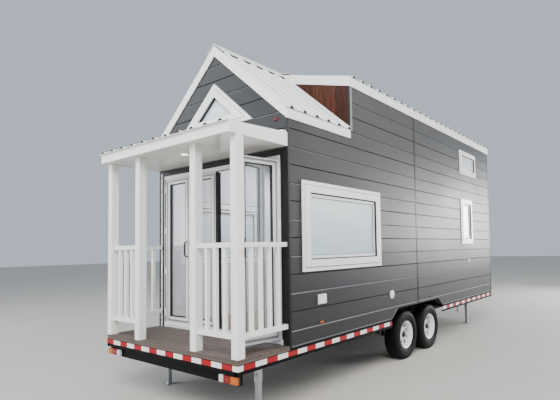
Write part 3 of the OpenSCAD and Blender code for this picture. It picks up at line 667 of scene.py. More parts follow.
def course_outline(face, back, bottom, top):
    """Section of sided wall: a lipped joint and a pressed groove in turn, with painted highlight and
    painted shade in them. Gives points and finishes.
    """
    s = sizes()
    away = 1 if face > back else -1
    depth = s.groove * away
    points, names = [(face, bottom)], []
    k = math.ceil((bottom - s.first_groove) / s.course + 0.05)
    while s.first_groove + k * s.course < top - 0.02:
        z = s.first_groove + k * s.course
        if k % 2 == 0:
            # A lipped joint: its sloping lip is painted light as a painted highlight, and its bottom is
            # painted black as painted shade.
            points += [(face, z - 0.011), (face - depth, z - 0.001), (face - depth, z + 0.002),
                       (face, z + 0.003)]
            names += ["siding", "siding_lip_painted_highlight", "closure", "siding"]
        else:
            # A pressed groove: painted black inside and darker on its underside, as painted shade.
            points += [(face, z - 0.004), (face - depth, z - 0.003), (face - depth, z + 0.001),
                       (face, z + 0.008)]
            names += ["siding", "closure", "closure", "dark_trim_and_painted_shade"]
        k += 1
    points += [(face, top), (back, top), (back, bottom)]
    names += ["siding", "siding", "lining", "siding"]
    return points, names


def cutter(outline, side):
    """A cutter through a side wall, with its outline in y and z."""
    hole = Shape()
    a, b = sorted((side * (HALF_W - WALL_T - 0.05), side * (HALF_W + 0.05)))
    hole.prism(outline, "X", a, b, "dark_trim_and_painted_shade")
    return hole


def bay_outline(grow=0.0):
    """Outline of the opening over the tyres, seen from the side, read from the wheel boxes."""
    a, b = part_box("wheel_boxes")
    skin = 0.006
    middle = (a.y + b.y) / 2
    bottom = (b.y - a.y) / 2 - skin + grow
    top = bottom - 0.170
    ceiling = b.z - skin + grow
    return [(middle - bottom, DECK_UNDER - 0.05), (middle - bottom, WALL_Z), (middle - top, ceiling),
            (middle + top, ceiling), (middle + bottom, WALL_Z), (middle + bottom, DECK_UNDER - 0.05)]


def side_wall(name, side):
    """A side wall with its courses, window holes, wheel opening, seam and lining."""
    face, mid, back = side * HALF_W, side * (HALF_W - SKIN_T), side * (HALF_W - WALL_T)
    parts = (("_low", WALL_Y + WALL_T, STEP_Y, LOW_EAVE, WINDOWS[:1]),
             ("_high", STEP_Y, REAR_Y - WALL_T, HIGH_EAVE, WINDOWS))
    for word, start, end, top, windows in parts:
        outside, inside = Shape(), Shape()
        points, names = course_outline(face, mid, WALL_Z, top)
        outside.prism(points, "Y", start, end, names, caps="siding")
        inside.prism([(mid, WALL_Z), (mid, top), (back, top), (back, WALL_Z)], "Y", start, end, "lining")
        for shape, label, slot, nodes in ((outside, "_siding", "siding", [name]),
                                          (inside, "_lining", "white_trim", [])):
            skin = shape.make(name + word + label)
            for window in windows:
                p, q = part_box(window)
                carve(skin, cutter(shrink(rect(p.y, p.z, q.y, q.z), LAP), side))
            if word == "_high":
                carve(skin, cutter(bay_outline(), side))
            settle(skin, slot, nodes)


def end_wall(name, face, back, outline, holes):
    """A wall across the house, cut to its outline, with its courses on the outside."""
    mid = (face + back) / 2
    top = max(p[1] for p in outline) + 0.05
    bottom = min(p[1] for p in outline)
    points, names = course_outline(face, mid, bottom, top)
    outside, inside, corners = Shape(), Shape(), Shape()
    outside.prism(points, "X", -HALF_W, HALF_W, names, caps="siding")
    inset = HALF_W - 0.012
    narrow = [(max(-inset, min(inset, x)), z) for x, z in outline]
    inside.prism(narrow, "Y", min(mid, back), max(mid, back), "lining")
    keep = Shape()
    keep.prism(narrow, "Y", min(face, back) - 0.1, max(face, back) + 0.1, "siding")
    eave = outline[2][1]
    points, names = course_outline(HALF_W, HALF_W - SKIN_T, bottom, eave)
    y0, y1 = sorted((face + (0.003 if back > face else -0.003), back))
    corners.prism(points, "Y", y0, y1, names, caps="siding")
    settle(corners.doubled().make(name + "_corners"), "siding")
    skin = outside.make(name + "_siding")
    carve(skin, keep, "INTERSECT")
    lined = inside.make(name + "_lining")
    for hole in holes:
        carve(skin, hole)
        carve(lined, hole)
    settle(skin, "siding", [name])
    settle(lined, "white_trim")


def gable_loop():
    """The triangular window's outline in x and z."""
    a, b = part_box("gable_window")
    return [(a.x, a.z), (b.x, a.z), (0.0, b.z)]


def between(near, far, low_lift, high_lift):
    """Outline between the steep roof and the shallow roof above it."""
    bottom = band(STEEP, near, far, low_lift, low_lift)
    top = band(SHALLOW, near, far, high_lift, high_lift)
    return bottom[:2] + top[2:]


class TINYHOUSE_OT_walls(bpy.types.Operator):
    """Sided walls with their linings, corner trims, seams and starter strips"""

    bl_idname = "tiny_house.walls"
    bl_label = "Walls"

    def execute(self, context):
        side_wall("right_wall", 1)
        side_wall("left_wall", -1)
        hole = Shape()
        hole.prism(shrink(gable_loop(), LAP), "Y", WALL_Y - 0.2, WALL_Y + 0.3, "dark_trim_and_painted_shade")
        gable, rear = ([(-HALF_W, foot), (HALF_W, foot), (HALF_W, eave), (0, RIDGE_UNDER), (-HALF_W, eave)]
                       for foot, eave in ((DOOR_TOP, LOW_EAVE), (WALL_Z, HIGH_EAVE)))
        end_wall("front_gable", WALL_Y, WALL_Y + WALL_T, gable, [hole])
        end_wall("rear_wall", REAR_Y, REAR_Y - WALL_T, rear, [])
        self.piers()
        self.trims()
        self.cheeks()
        return {"FINISHED"}

    def piers(self):
        """The wall ends beside the doorway: sided on the right, a screwed white casing on the left"""
        right = Shape()
        points, names = course_outline(HALF_W, HALF_W - SKIN_T, WALL_Z, DOOR_TOP)
        # The pier's front face is painted darker, as painted shade under the porch roof.
        right.prism(points, "Y", WALL_Y + 0.004, WALL_Y + WALL_T, names, caps="dark_trim_and_painted_shade")
        right.block((HALF_W - WALL_T, WALL_Y + 0.004, WALL_Z), (HALF_W - SKIN_T, WALL_Y + WALL_T, DOOR_TOP),
                    "dark_trim_and_painted_shade")
        settle(right.make("right_pier"), "siding", ["front_wall_right"])
        left = Shape()
        left.block((-HALF_W, WALL_Y, WALL_Z), (-HALF_W + 0.056, WALL_Y + WALL_T, DOOR_TOP), "white_trim")
        # The rest of the left pier's front is painted dark, as painted shade under the porch roof.
        left.block((-HALF_W + 0.056, WALL_Y + 0.006, WALL_Z), (-HALF_W + WALL_T, WALL_Y + WALL_T, DOOR_TOP),
                   "dark_trim_and_painted_shade")
        for i in range(11):
            z = WALL_Z + 0.10 + i * 0.192
            left.disc((-HALF_W + 0.034, WALL_Y - 0.003, z), "Y", 0.009, 0.006, "gasket", 12)
        settle(left.make("left_pier"), "white_trim", ["front_wall_left"], bevel=0.001)
        face = Shape()
        face.block((-HALF_W - 0.002, WALL_Y, WALL_Z), (-HALF_W, WALL_Y + WALL_T, DOOR_TOP), "dark_trim_and_painted_shade")
        settle(face.make("left_corner_strip"), "siding")

    def trims(self):
        """Corner angles, the seam cover, starter strips and the edging of the wheel openings"""
        t = Shape()
        proud = 0.003
        t.block((HALF_W - 0.030, WALL_Y - proud, WALL_Z), (HALF_W + proud, WALL_Y + 0.004, DOOR_TOP + 0.04),
                "dark_trim_and_painted_shade")
        t.block((HALF_W, WALL_Y, WALL_Z), (HALF_W + proud, WALL_Y + 0.028, LOW_EAVE), "dark_trim_and_painted_shade")
        for near, far, bottom, kind in ((STEP_Y, STEP_Y + 0.045, LOW_EAVE + 0.10, "grey_trim"),
                                        (REAR_Y - 0.045, REAR_Y, WALL_Z, "dark_trim_and_painted_shade")):
            t.block((HALF_W, near, bottom), (HALF_W + proud, far, HIGH_EAVE), kind)
        t.block((HALF_W - 0.045, REAR_Y, WALL_Z), (HALF_W + proud, REAR_Y + proud, HIGH_EAVE),
                "dark_trim_and_painted_shade")
        seam = -0.640
        bay_top = bay_outline()[2][1]
        t.block((HALF_W, seam - 0.014, bay_top), (HALF_W + 0.002, seam + 0.014, HIGH_EAVE), "dark_trim_and_painted_shade")
        for y in (seam - 0.0175, seam + 0.014):
            t.block((HALF_W, y, bay_top), (HALF_W + 0.0035, y + 0.0035, HIGH_EAVE), "dark_trim_and_painted_shade")
        inner, outer = bay_outline(), bay_outline(0.014)
        for i in range(1, 4):
            loop = [inner[i], inner[i + 1], outer[i + 1], outer[i]]
            t.prism(loop, "X", HALF_W - 0.02, HALF_W + 0.004, "dark_trim_and_painted_shade" if i == 2 else "grey_trim")
        for a, b in ((WALL_Y + 0.03, inner[1][0] - 0.016), (inner[4][0] + 0.016, REAR_Y)):
            t.block((HALF_W, a, WALL_Z), (HALF_W + 0.004, b, WALL_Z + 0.012), "grey_trim")
        both = t.doubled()
        both.block((-HALF_W, REAR_Y, WALL_Z), (HALF_W, REAR_Y + 0.003, WALL_Z + 0.012), "grey_trim")
        both.block((-HALF_W + 0.03, WALL_Y - 0.004, DOOR_TOP - 0.002),
                   (HALF_W - 0.03, WALL_Y, DOOR_TOP + 0.012), "dark_trim_and_painted_shade")
        settle(both.make("wall_trims"), "siding", bevel=0.0008, steps=1)

    def cheeks(self):
        """Vertical boards of the wooden walls between the roofs"""
        width, gap = sizes().cladding, 0.008
        backing, boards = Shape(), Shape()
        x = 0.185
        far = HALF_W - 0.032
        while x < far - 0.01:
            a, b = x, min(x + width - gap, far)
            boards.prism(between(a, b, ROOF_T - 0.03, 0.004), "Y", STEP_Y - 0.006, STEP_Y + 0.022,
                         "red_wood")
            x += width
        boards.prism(between(0.10, far, 0.08, 0.0), "Y", STEP_Y - 0.001, STEP_Y + 0.004, "closure")
        backing.prism(between(0.06, HALF_W - WALL_T, 0.0, 0.0), "Y", STEP_Y + 0.022, STEP_Y + WALL_T,
                      "closure")
        boards.block((far, STEP_Y - 0.006, under(far, STEEP)), (HALF_W + 0.003, STEP_Y, HIGH_EAVE),
                     "siding")
        settle(boards.doubled().make("cheek_boards"), "red_wood", ["cheek_walls"], bevel=0.0025)
        settle(backing.doubled().make("cheek_backing"), "red_wood")


# ---------------------------------------------------------------- roofs

def rib(shape, y, slope, half_low, half_high, height, end_x):
    """A trapezoid rib that runs down a slope from the ridge, open at its ends, which are painted black as
    painted shade inside the rib.
    """
    def section(x):
        z = under(x, slope) + ROOF_T
        return [(x, y - half_low, z - 0.001), (x, y + half_low, z - 0.001),
                (x, y + half_high, z + height), (x, y - half_high, z + height)]

    shape.hull(section(0.012), section(end_x), ["roof_sheet"] * 4 + ["closure"] * 2)


def roof_slope(name, node_name, start, end, slope, side):
    """A roof slope: lined slab, ribbed sheet, stiffening beads and screws with washers."""
    s = Shape()
    sheet = 0.003
    edge = HALF_W + BOARD_T + 0.006
    top = ROOF_T - sheet
    s.prism(band(slope, 0, HALF_W, 0, top), "Y", start, end, ["lining"] + ["roof_edge"] * 3, "roof_edge")
    s.prism(band(slope, 0, edge, top, ROOF_T), "Y", start, end, "roof_sheet")
    step = sizes().rib_step
    count = int((end - start - 0.06) / step)
    first = (start + end) / 2 - count * step / 2
    rows = (0.20, 0.62, HALF_W - 0.07)
    for i in range(count + 1):
        y = first + i * step
        rib(s, y, slope, 0.038, 0.016, RIB_RISE, edge + 0.002)
        for x in rows:
            z = under(x, slope) + ROOF_T + RIB_RISE
            s.disc((x, y, z - 0.002), "Z", 0.010, 0.0035, "roof_edge", 10)
            s.disc((x, y, z + 0.001), "Z", 0.005, 0.005, "bolt_steel", 6)
        if i < count:
            for share in (1 / 3, 2 / 3):
                rib(s, y + step * share, slope, 0.010, 0.005, 0.0015, edge)
    whole = Shape()
    whole.join(s, ALONG_X if side > 0 else MIRROR_X)
    settle(whole.make(name), "roof_sheet", [node_name])


class TINYHOUSE_OT_roofs(bpy.types.Operator):
    """Ribbed roof sheets, ridge caps, closures and white edge boards"""

    bl_idname = "tiny_house.roofs"
    bl_label = "Roofs"

    def execute(self, context):
        for side, word in ((1, "right"), (-1, "left")):
            roof_slope("gable_sheet_" + word, "gable_roof_" + word, WALL_Y, STEP_Y, STEEP, side)
            roof_slope("main_sheet_" + word, "main_roof_" + word, STEP_Y, ROOF_END, SHALLOW, side)
        self.caps()
        self.gable_edges()
        self.main_edges()
        return {"FINISHED"}

    def cap(self, s, start, end, slope):
        """A folded ridge cap with a hemmed edge and a foam closure below"""
        lift = ROOF_T + RIB_H
        for side in (1, -1):
            s.prism(band(slope, 0, side * CAP_W, lift + 0.003, lift + 0.006), "Y", start, end, "roof_edge")
            s.prism(band(slope, side * 0.02, side * (CAP_W - 0.012), ROOF_T, lift), "Y", start + 0.02,
                    end - 0.01, "closure")
        top = RIDGE_UNDER + lift + 0.003
        s.rod([(0, start + 0.001, top), (0, end - 0.001, top)], 0.003, "roof_edge", 8)

    def caps(self):
        """Ridge caps in lengths that meet with a small gap"""
        s = Shape()
        self.cap(s, WALL_Y - BOARD_T, STEP_Y - BOARD_T - 0.003, STEEP)
        last = ROOF_END + BOARD_T
        length = (last - STEP_Y + BOARD_T) / 3
        for i in range(3):
            a = STEP_Y - BOARD_T + i * length
            self.cap(s, a, a + length - 0.002, SHALLOW)
        settle(s.make("ridge_caps"), "roof_sheet", ["ridge_cap"])

    def gable_edges(self):
        """Rake boards with a folded flashing, and eave boards, of the steep roof"""
        s = Shape()
        y = WALL_Y
        s.prism(band(STEEP, 0, HALF_W, 0, ROOF_T), "Y", y - BOARD_T, y, "roof_edge")
        s.prism([(0, RIDGE_UNDER + ROOF_T), (HALF_W + 0.015, LOW_EAVE + ROOF_T - 0.015 * STEEP),
                 (HALF_W + 0.015, LOW_EAVE + ROOF_T + FLASHING - 0.015 * STEEP),
                 (0, RIDGE_UNDER + ROOF_T + FLASHING)], "Y", y - BOARD_T, y + 0.055, "roof_edge")
        s.prism(band(STEEP, 0, HALF_W, -0.004, 0.010), "Y", y - BOARD_T + 0.001, y - 0.004, "roof_edge")
        s.block((HALF_W, y - BOARD_T, LOW_EAVE - 0.005),
                (HALF_W + BOARD_T, STEP_Y - BOARD_T, LOW_EAVE + 0.098), "roof_edge")
        for far, rise, near_y, far_y, kind in ((HALF_W + 0.012, 0.030, 0.060, 0.016, "roof_edge"),
                                               (HALF_W, 0.014, 0.068, 0.060, "gasket"),
                                               (HALF_W, 0.012, 0.016, 0.001, "closure")):
            s.prism(band(STEEP, 0.10, far, ROOF_T, ROOF_T + rise), "Y", STEP_Y - near_y,
                    STEP_Y - far_y, kind)
        settle(s.doubled().make("gable_edge_boards"), "white_trim", ["gable_boards"], bevel=0.002)

    def main_edges(self):
        """Front, rear and eave boards of the raised roof"""
        s = Shape()
        meet = ROOF_T / (STEEP - SHALLOW)
        a = 0.02
        s.prism([(a, under(a, SHALLOW) + ROOF_T), (a, under(a, STEEP) + ROOF_T),
                 (meet, under(meet, SHALLOW)), (HALF_W, HIGH_EAVE), (HALF_W, HIGH_EAVE + ROOF_T)], "Y",
                STEP_Y - BOARD_T, STEP_Y, "roof_edge")
        s.prism(band(SHALLOW, 0, HALF_W, 0, ROOF_T), "Y", ROOF_END, ROOF_END + BOARD_T, "roof_edge")
        s.block((HALF_W, STEP_Y - BOARD_T, HIGH_EAVE - 0.005),
                (HALF_W + BOARD_T, ROOF_END + BOARD_T, HIGH_EAVE + ROOF_T - 0.010), "roof_edge")
        s.block((HALF_W - 0.002, STEP_Y - BOARD_T - 0.002, HIGH_EAVE + 0.010),
                (HALF_W + BOARD_T + 0.002, STEP_Y + 0.001, HIGH_EAVE + ROOF_T - 0.012), "roof_edge")
        for y0, y1 in ((STEP_Y - BOARD_T, STEP_Y + 0.05), (ROOF_END - 0.05, ROOF_END + BOARD_T)):
            s.prism(band(SHALLOW, a, HALF_W + 0.015, ROOF_T, ROOF_T + FLASHING), "Y", y0, y1, "roof_edge")
        settle(s.doubled().make("main_edge_boards"), "white_trim", ["main_boards"], bevel=0.002)


# ---------------------------------------------------------------- porch

class TINYHOUSE_OT_porch(bpy.types.Operator):
    """Deck planks, posts, railings, and the porch roof with its sheet and light"""

    bl_idname = "tiny_house.porch"
    bl_label = "Porch"

    def execute(self, context):
        self.deck()
        self.posts()
        self.railings()
        self.roof()
        return {"FINISHED"}

    def deck(self):
        """Planks across the porch over a joist edge, with fine ridges along them"""
        s, ridges = Shape(), Shape()
        plank, gap, lines = sizes().plank, 0.006, 6
        mid = (DECK_UNDER + DECK_TOP) / 2 + 0.002
        s.block((-HALF_W + 0.004, DECK_Y + 0.004, DECK_UNDER), (HALF_W - 0.004, WALL_Y, mid - 0.001),
                "deck_edge")
        y = DECK_Y
        while y < WALL_Y - 0.02:
            end = min(y + plank, WALL_Y)
            s.block((-HALF_W, y, mid), (HALF_W, end, DECK_TOP), "deck_wood")
            for i in range(1, lines):
                line = y + plank * i / lines
                if line < WALL_Y - 0.01:
                    ridges.block((-HALF_W + 0.002, line - 0.0012, DECK_TOP - 0.004),
                                 (HALF_W - 0.002, line + 0.0012, DECK_TOP + 0.0008), "deck_edge")
            y = end + gap
        settle(s.make("deck_planks"), "deck_wood", ["porch_deck"], bevel=0.003)
        settle(ridges.make("plank_ridges"), "deck_wood")

    def posts(self):
        """Square posts from the deck to the porch roof, with eased edges"""
        s = Shape()
        a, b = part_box("porch_posts")
        width = 0.09
        inner = low("railing_front_right").x - width
        for x in (inner, b.x - width):
            s.block((x, a.y, a.z), (x + width, b.y, b.z), "white_trim")
        settle(s.doubled().make("posts"), "white_trim", ["porch_posts"], bevel=0.004, steps=3)

    def railings(self):
        """Top and bottom rails with square balusters let into them"""
        rail, thin = 0.048, 0.036
        for word, mirror in (("right", ALONG_X), ("left", MIRROR_X)):
            for place, count in (("front", 3), ("side", 4)):
                a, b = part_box(f"railing_{place}_right")
                s = Shape()
                for z in (a.z, b.z - rail):
                    s.block((a.x, a.y, z), (b.x, b.y, z + rail), "white_trim")
                along = 0 if place == "front" else 1
                length = b[along] - a[along]
                middle = (a + b) / 2
                for i in range(1, count + 1):
                    p = list(middle)
                    p[along] = a[along] + length * i / (count + 1)
                    s.block((p[0] - thin / 2, p[1] - thin / 2, a.z + rail - 0.003),
                            (p[0] + thin / 2, p[1] + thin / 2, b.z - rail + 0.003), "white_trim")
                for z in (a.z + rail / 2, b.z - rail / 2):
                    for end in (a[along] + 0.012, b[along] - 0.012):
                        p = list(middle)
                        p[along], p[2] = end, z
                        p[1 - along] = a[1 - along] - 0.0005
                        s.disc(p, "YX"[along], 0.004, 0.001, "bolt_steel", 8)
                whole = Shape()
                whole.join(s, mirror)
                settle(whole.make(f"railing_{place}_{word}_bars"), "white_trim",
                       [f"railing_{place}_{word}"], bevel=0.003)

    def roof(self):
        """Box edge boards, glossy ceiling, ribbed sheet, wall flashing and a round light"""
        s = Shape()
        top = high("porch_boards").z
        front_top = top - 0.040
        fall = (top - front_top) / (WALL_Y - PORCH_FRONT)
        x = HALF_W - BOARD_T
        y0 = PORCH_FRONT + BOARD_T
        s.prism([(y0, SOFFIT), (WALL_Y, SOFFIT), (WALL_Y, top - 0.003), (y0, front_top - 0.003)],
                "X", -x, x, ["soffit"] + ["roof_edge"] * 3)
        sheet_y = PORCH_FRONT - 0.028

        def sheet_z(y):
            return front_top + (y - PORCH_FRONT) * fall
        s.prism([(sheet_y, sheet_z(sheet_y) - 0.002), (WALL_Y, top - 0.002), (WALL_Y, top + 0.001),
                 (sheet_y, sheet_z(sheet_y) + 0.001)], "X", -HALF_W, HALF_W, "roof_sheet")
        step = sizes().rib_step
        count = int((2 * x - 0.03) / step)
        for i in range(count + 1):
            middle = -count * step / 2 + i * step
            near, far = ([(middle - 0.034, y, sheet_z(y)), (middle + 0.034, y, sheet_z(y)),
                          (middle + 0.016, y, sheet_z(y) + RIB_H), (middle - 0.016, y, sheet_z(y) + RIB_H)]
                         for y in (sheet_y, WALL_Y))
            s.hull(near, far, ["roof_sheet"] * 4 + ["closure"] * 2)
        s.prism([(WALL_Y - 0.07, top - 0.003), (WALL_Y, top + 0.002), (WALL_Y, top + RIB_H + 0.001),
                 (WALL_Y - 0.07, sheet_z(WALL_Y - 0.07) + RIB_H)], "X", -x, x, "roof_edge")
        settle(s.make("porch_cover"), "roof_sheet", ["porch_roof"])
        b = Shape()
        b.block((-HALF_W, PORCH_FRONT, SOFFIT - 0.002), (HALF_W, y0, front_top), "roof_edge")
        for side in (1, -1):
            a, c = sorted((side * x, side * HALF_W))
            b.prism([(y0, SOFFIT - 0.002), (WALL_Y, SOFFIT - 0.002), (WALL_Y, top), (y0, front_top)],
                    "X", a, c, "roof_edge")
            a, c = sorted((side * (x - 0.004), side * (HALF_W - 0.001)))
            b.block((a, y0 - 0.001, SOFFIT), (c, WALL_Y, SOFFIT + 0.004), "roof_edge")
        settle(b.make("porch_edge_boards"), "white_trim", ["porch_boards"], bevel=0.003)
        light = Shape()
        centre = (0.04, -4.141, SOFFIT)
        light.lathe([(0, -0.006), (0.042, -0.006), (0.042, 0.0), (0, 0.0)], centre, "Z", "light_disc", 32)
        light.lathe([(0.042, -0.007), (0.052, -0.005), (0.055, 0.0), (0.042, 0.0)], centre, "Z",
                    "fitting_white", 32)
        settle(light.make("porch_light"), "fitting_white")


# ---------------------------------------------------------------- door

def leaf(width, height):
    """One door leaf with its outside at y = 0: stiles and rails, a recess painted grey as painted shade,
    bead, gaskets and glass.
    """
    s = Shape()

    def place(u, v, n):
        return Vector((u, -n, v))

    gap = 0.003
    edge = rect(gap, 0, width - gap, height)

    def inset(d):
        return rect(gap + d, d, width - gap - d, height - d * 0.74)
    s.ring(place, edge, inset(0.020), -LEAF_T, 0.0, "door_white")
    # The recess is painted grey: painted shade.
    s.ring(place, inset(0.020), inset(0.050), -LEAF_T + 0.004, -0.012, "door_shade")
    s.ring(place, inset(0.050), inset(0.086), -LEAF_T, -0.001, "door_white")
    s.ring(place, inset(0.086), inset(0.098), -LEAF_T + 0.004, -0.003, "gasket")
    s.pane(place, inset(0.094), -0.034, -0.030, "clear_glass")
    s.ring(place, shrink(edge, -0.0005), shrink(edge, 0.003), -LEAF_T + 0.002, -0.002, "gasket")
    return s


class TINYHOUSE_OT_door(bpy.types.Operator):
    """Folding door: frame, sill track, four leaves, gaskets, hinges and pull handles"""

    bl_idname = "tiny_house.door"
    bl_label = "Folding door"

    def execute(self, context):
        closed_low, closed_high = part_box("closed_leaves")
        self.z0, self.z1 = closed_low.z, closed_high.z
        self.width = (closed_high.x - closed_low.x + 0.006) / 2
        self.zone = 2 * self.width
        self.out = closed_low.y
        self.frame_piece()
        self.closed()
        self.folded()
        return {"FINISHED"}

    def frame_piece(self):
        """Head, jambs and a low sill with its track and drip edge"""
        s = Shape()
        a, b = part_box("door_frame")
        head = self.z1 + 0.006
        x = self.zone + 0.006

        def place(u, v, n):
            return Vector((u, a.y - n, v))

        outer = rect(a.x, a.z, b.x, b.z)
        inner = rect(-x, self.z0, x, head)
        depth = b.y - a.y
        s.ring(place, outer, inner, -depth, -0.004, "door_white")
        lip_in = rect(-x - 0.004, self.z0 - 0.006, x + 0.004, head + 0.030)
        head_top = head + 0.048
        lip_out = rect(a.x + 0.010, self.z0 - 0.034, b.x - 0.010, head_top)
        s.ring(place, lip_out, lip_in, -0.010, 0.002, "door_white")
        s.block((a.x, a.y + 0.001, head_top), (b.x, a.y + 0.006, b.z), "siding")
        s.block((a.x, a.y - 0.001, head_top), (b.x, a.y + 0.001, head_top + 0.012), "closure")
        for side in (-1, 1):
            x0, x1 = sorted((side * b.x, side * (b.x - 0.012)))
            s.block((x0, a.y - 0.001, self.z0), (x1, a.y + 0.006, head_top + 0.004), "closure")
        s.block((-x, a.y + 0.004, self.z0 - 0.002), (x, a.y + 0.012, self.z0 + 0.005), "door_white")
        s.block((-x, a.y + 0.030, self.z0 - 0.002), (x, a.y + 0.036, self.z0 + 0.004), "handle_steel")
        s.block((-x, a.y + 0.016, head - 0.004), (x, a.y + 0.044, head + 0.002), "gasket")
        for side in (-1, 1):
            s.block((side * x - 0.004, a.y + 0.004, self.z0), (side * x + 0.004, a.y + 0.014, head),
                    "gasket")
        s.block((-x, a.y - 0.016, DECK_TOP + 0.001), (x, a.y, DECK_TOP + 0.008), "handle_steel")
        settle(s.make("door_surround"), "door_white", ["door_frame"], bevel=0.0015)

    def hinges(self, s, matrix):
        """Barrel hinges down one edge"""
        part = Shape()
        height = self.z1 - self.z0
        for share in (0.07, 0.36, 0.64, 0.93):
            z = height * share
            part.pin((0, -0.004, z), "Z", 0.008, -0.045, 0.045, "door_white")
            part.block((-0.026, -0.004, z - 0.034), (0.026, 0.0, z + 0.034), "door_white")
        s.join(part, matrix)

    def pull(self, s, matrix):
        """A D-shaped pull on two roses"""
        part = Shape()
        z = 0.97
        path = [(0, 0, z - 0.095), (0, -0.030, z - 0.092), (0, -0.044, z - 0.075), (0, -0.047, z - 0.04),
                (0, -0.047, z + 0.04), (0, -0.044, z + 0.075), (0, -0.030, z + 0.092), (0, 0, z + 0.095)]
        part.rod(path, 0.009, "gasket", 12)
        for end in (-0.095, 0.095):
            part.lathe([(0, -0.006), (0.016, -0.006), (0.018, 0), (0, 0)], (0, 0, z + end), "Y",
                       "handle_steel", 20)
        s.join(part, matrix)

    def closed(self):
        s, panel = Shape(), leaf(self.width, self.z1 - self.z0)
        left, right = (Matrix.Translation((-self.zone + i * self.width, self.out, self.z0)) for i in (0, 1))
        s.join(panel, left, right)
        s.block((-0.010, self.out - 0.004, self.z0 + 0.01), (0.036, self.out + LEAF_T, self.z1 - 0.01),
                "closure")
        s.block((0.012, self.out - 0.006, self.z0 + 0.012),
                (0.017, self.out - 0.002, self.z1 - 0.012), "gasket")
        s.block((-self.width - 0.004, self.out + 0.002, self.z0),
                (-self.width + 0.004, self.out + LEAF_T, self.z1), "gasket")
        self.hinges(s, left)
        self.pull(s, Matrix.Translation((-self.width - 0.045, self.out, self.z0)))
        settle(s.make("closed_pair"), "door_white", ["closed_leaves"], bevel=0.0012, steps=1)

    def folded(self):
        """The pair folded out at the right jamb, inside to inside"""
        s, panel = Shape(), leaf(self.width, self.z1 - self.z0)
        along = Vector((-math.cos(FOLD), -math.sin(FOLD), 0))
        inward = Vector((-math.sin(FOLD), math.cos(FOLD), 0))
        jamb = Vector((self.zone, self.out, self.z0))
        knuckle = jamb + along * self.width + inward * LEAF_T
        first = Matrix.Translation(jamb) @ Matrix.Rotation(FOLD, 4, "Z") @ MIRROR_X
        second = (Matrix.Translation(knuckle) @ Matrix.Rotation(-FOLD, 4, "Z") @ MIRROR_X
                  @ Matrix.Translation((0, -LEAF_T, 0)))
        s.join(panel, first, second)
        self.hinges(s, first)
        self.pull(s, first @ Matrix.Translation((self.width - 0.055, 0, 0)))
        bar = Shape()
        bar.block((-0.002, 0.004, 0.01), (0.003, LEAF_T - 0.004, self.z1 - self.z0 - 0.01), "gasket")
        edge = Matrix.Translation((self.width, 0, 0))
        s.join(bar, first @ edge, second @ edge)
        settle(s.make("folded_pair"), "door_white", ["folded_leaves"], bevel=0.0012, steps=1)


# ---------------------------------------------------------------- windows

def frames(s, place, loop, rows):
    """Rings round a window; each row has its outer and inner inset, its depth, its height and finish."""
    for outer, inner, near, far, kind in rows:
        s.ring(place, shrink(loop, outer), shrink(loop, inner), near, far, kind)


def window(s, place, loop, sash):
    """A screwed flange, a frame, a gasket and a sash with coated glass that carries a painted reflection,
    from the outside in, with a black ring outside the flange as a painted shadow line.
    """
    edge = sash - 0.050
    # The last row is a black ring just outside the flange: a painted shadow line on the siding.
    frames(s, place, loop, (
        (0.0, 0.040, 0.0, 0.018, "window_white"), (0.040, 0.048, 0.0, 0.008, "gasket"),
        (0.048, edge, -0.09, 0.028, "window_white"), (edge, edge + 0.006, -0.06, 0.025, "gasket"),
        (edge + 0.006, edge + 0.012, -0.06, -0.006, "gasket"),
        (edge + 0.012, sash - 0.004, -0.07, 0.004, "window_white"),
        (sash - 0.004, sash + 0.003, -0.045, -0.002, "glass_edge"),
        (-0.007, 0.004, 0.0, 0.003, "closure")))
    s.pane(place, shrink(loop, sash), -0.030, -0.008, "coated_glass")


def flange_screws(s, place, loop, every):
    """Screw heads along the flange"""
    track = shrink(loop, 0.020)
    for i, a in enumerate(track):
        b = track[(i + 1) % len(track)]
        length = math.dist(a, b)
        count = max(1, round(length / every))
        for k in range(count):
            t = (k + 0.5) / count
            u, v = a[0] + (b[0] - a[0]) * t, a[1] + (b[1] - a[1]) * t
            eight = [(u + 0.0045 * math.cos(math.pi * j / 4), v + 0.0045 * math.sin(math.pi * j / 4))
                     for j in range(8)]
            s.pane(place, eight, 0.016, 0.0195, "fitting_white")


class TINYHOUSE_OT_windows(bpy.types.Operator):
    """Side windows and the triangular gable window, with their glass"""

    bl_idname = "tiny_house.windows"
    bl_label = "Windows"

    def execute(self, context):
        for name, sash in (("big_windows", 0.178), ("high_windows", 0.140), ("tall_windows", 0.140)):
            a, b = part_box(name)
            loop = rect(a.y, a.z, b.y, b.z)
            s = Shape()
            window(s, self.on_side, loop, sash)
            flange_screws(s, self.on_side, loop, 0.28)
            settle(s.doubled().make(name + "_framed"), "window_white", [name], bevel=0.0015)
        s = Shape()
        loop = gable_loop()
        frames(s, self.on_gable, loop, (
            (0.0, 0.040, 0.0, 0.018, "window_white"), (0.040, 0.044, 0.0, 0.014, "gasket"),
            (0.044, 0.122, -0.09, 0.026, "window_white"), (0.122, 0.130, -0.05, 0.010, "gasket"),
            (-0.008, 0.004, 0.0, 0.003, "grey_trim")))
        s.pane(self.on_gable, shrink(loop, 0.122), -0.045, -0.020, "coated_glass")
        settle(s.make("gable_window_framed"), "window_white", ["gable_window", "glass"], bevel=0.0015)
        return {"FINISHED"}

    @staticmethod
    def on_side(u, v, n):
        """A point on the right wall, n out from its face."""
        return Vector((HALF_W + n, u, v))

    @staticmethod
    def on_gable(u, v, n):
        """A point on the front gable, n out from its face."""
        return Vector((u, WALL_Y - n, v))


# ---------------------------------------------------------------- trailer

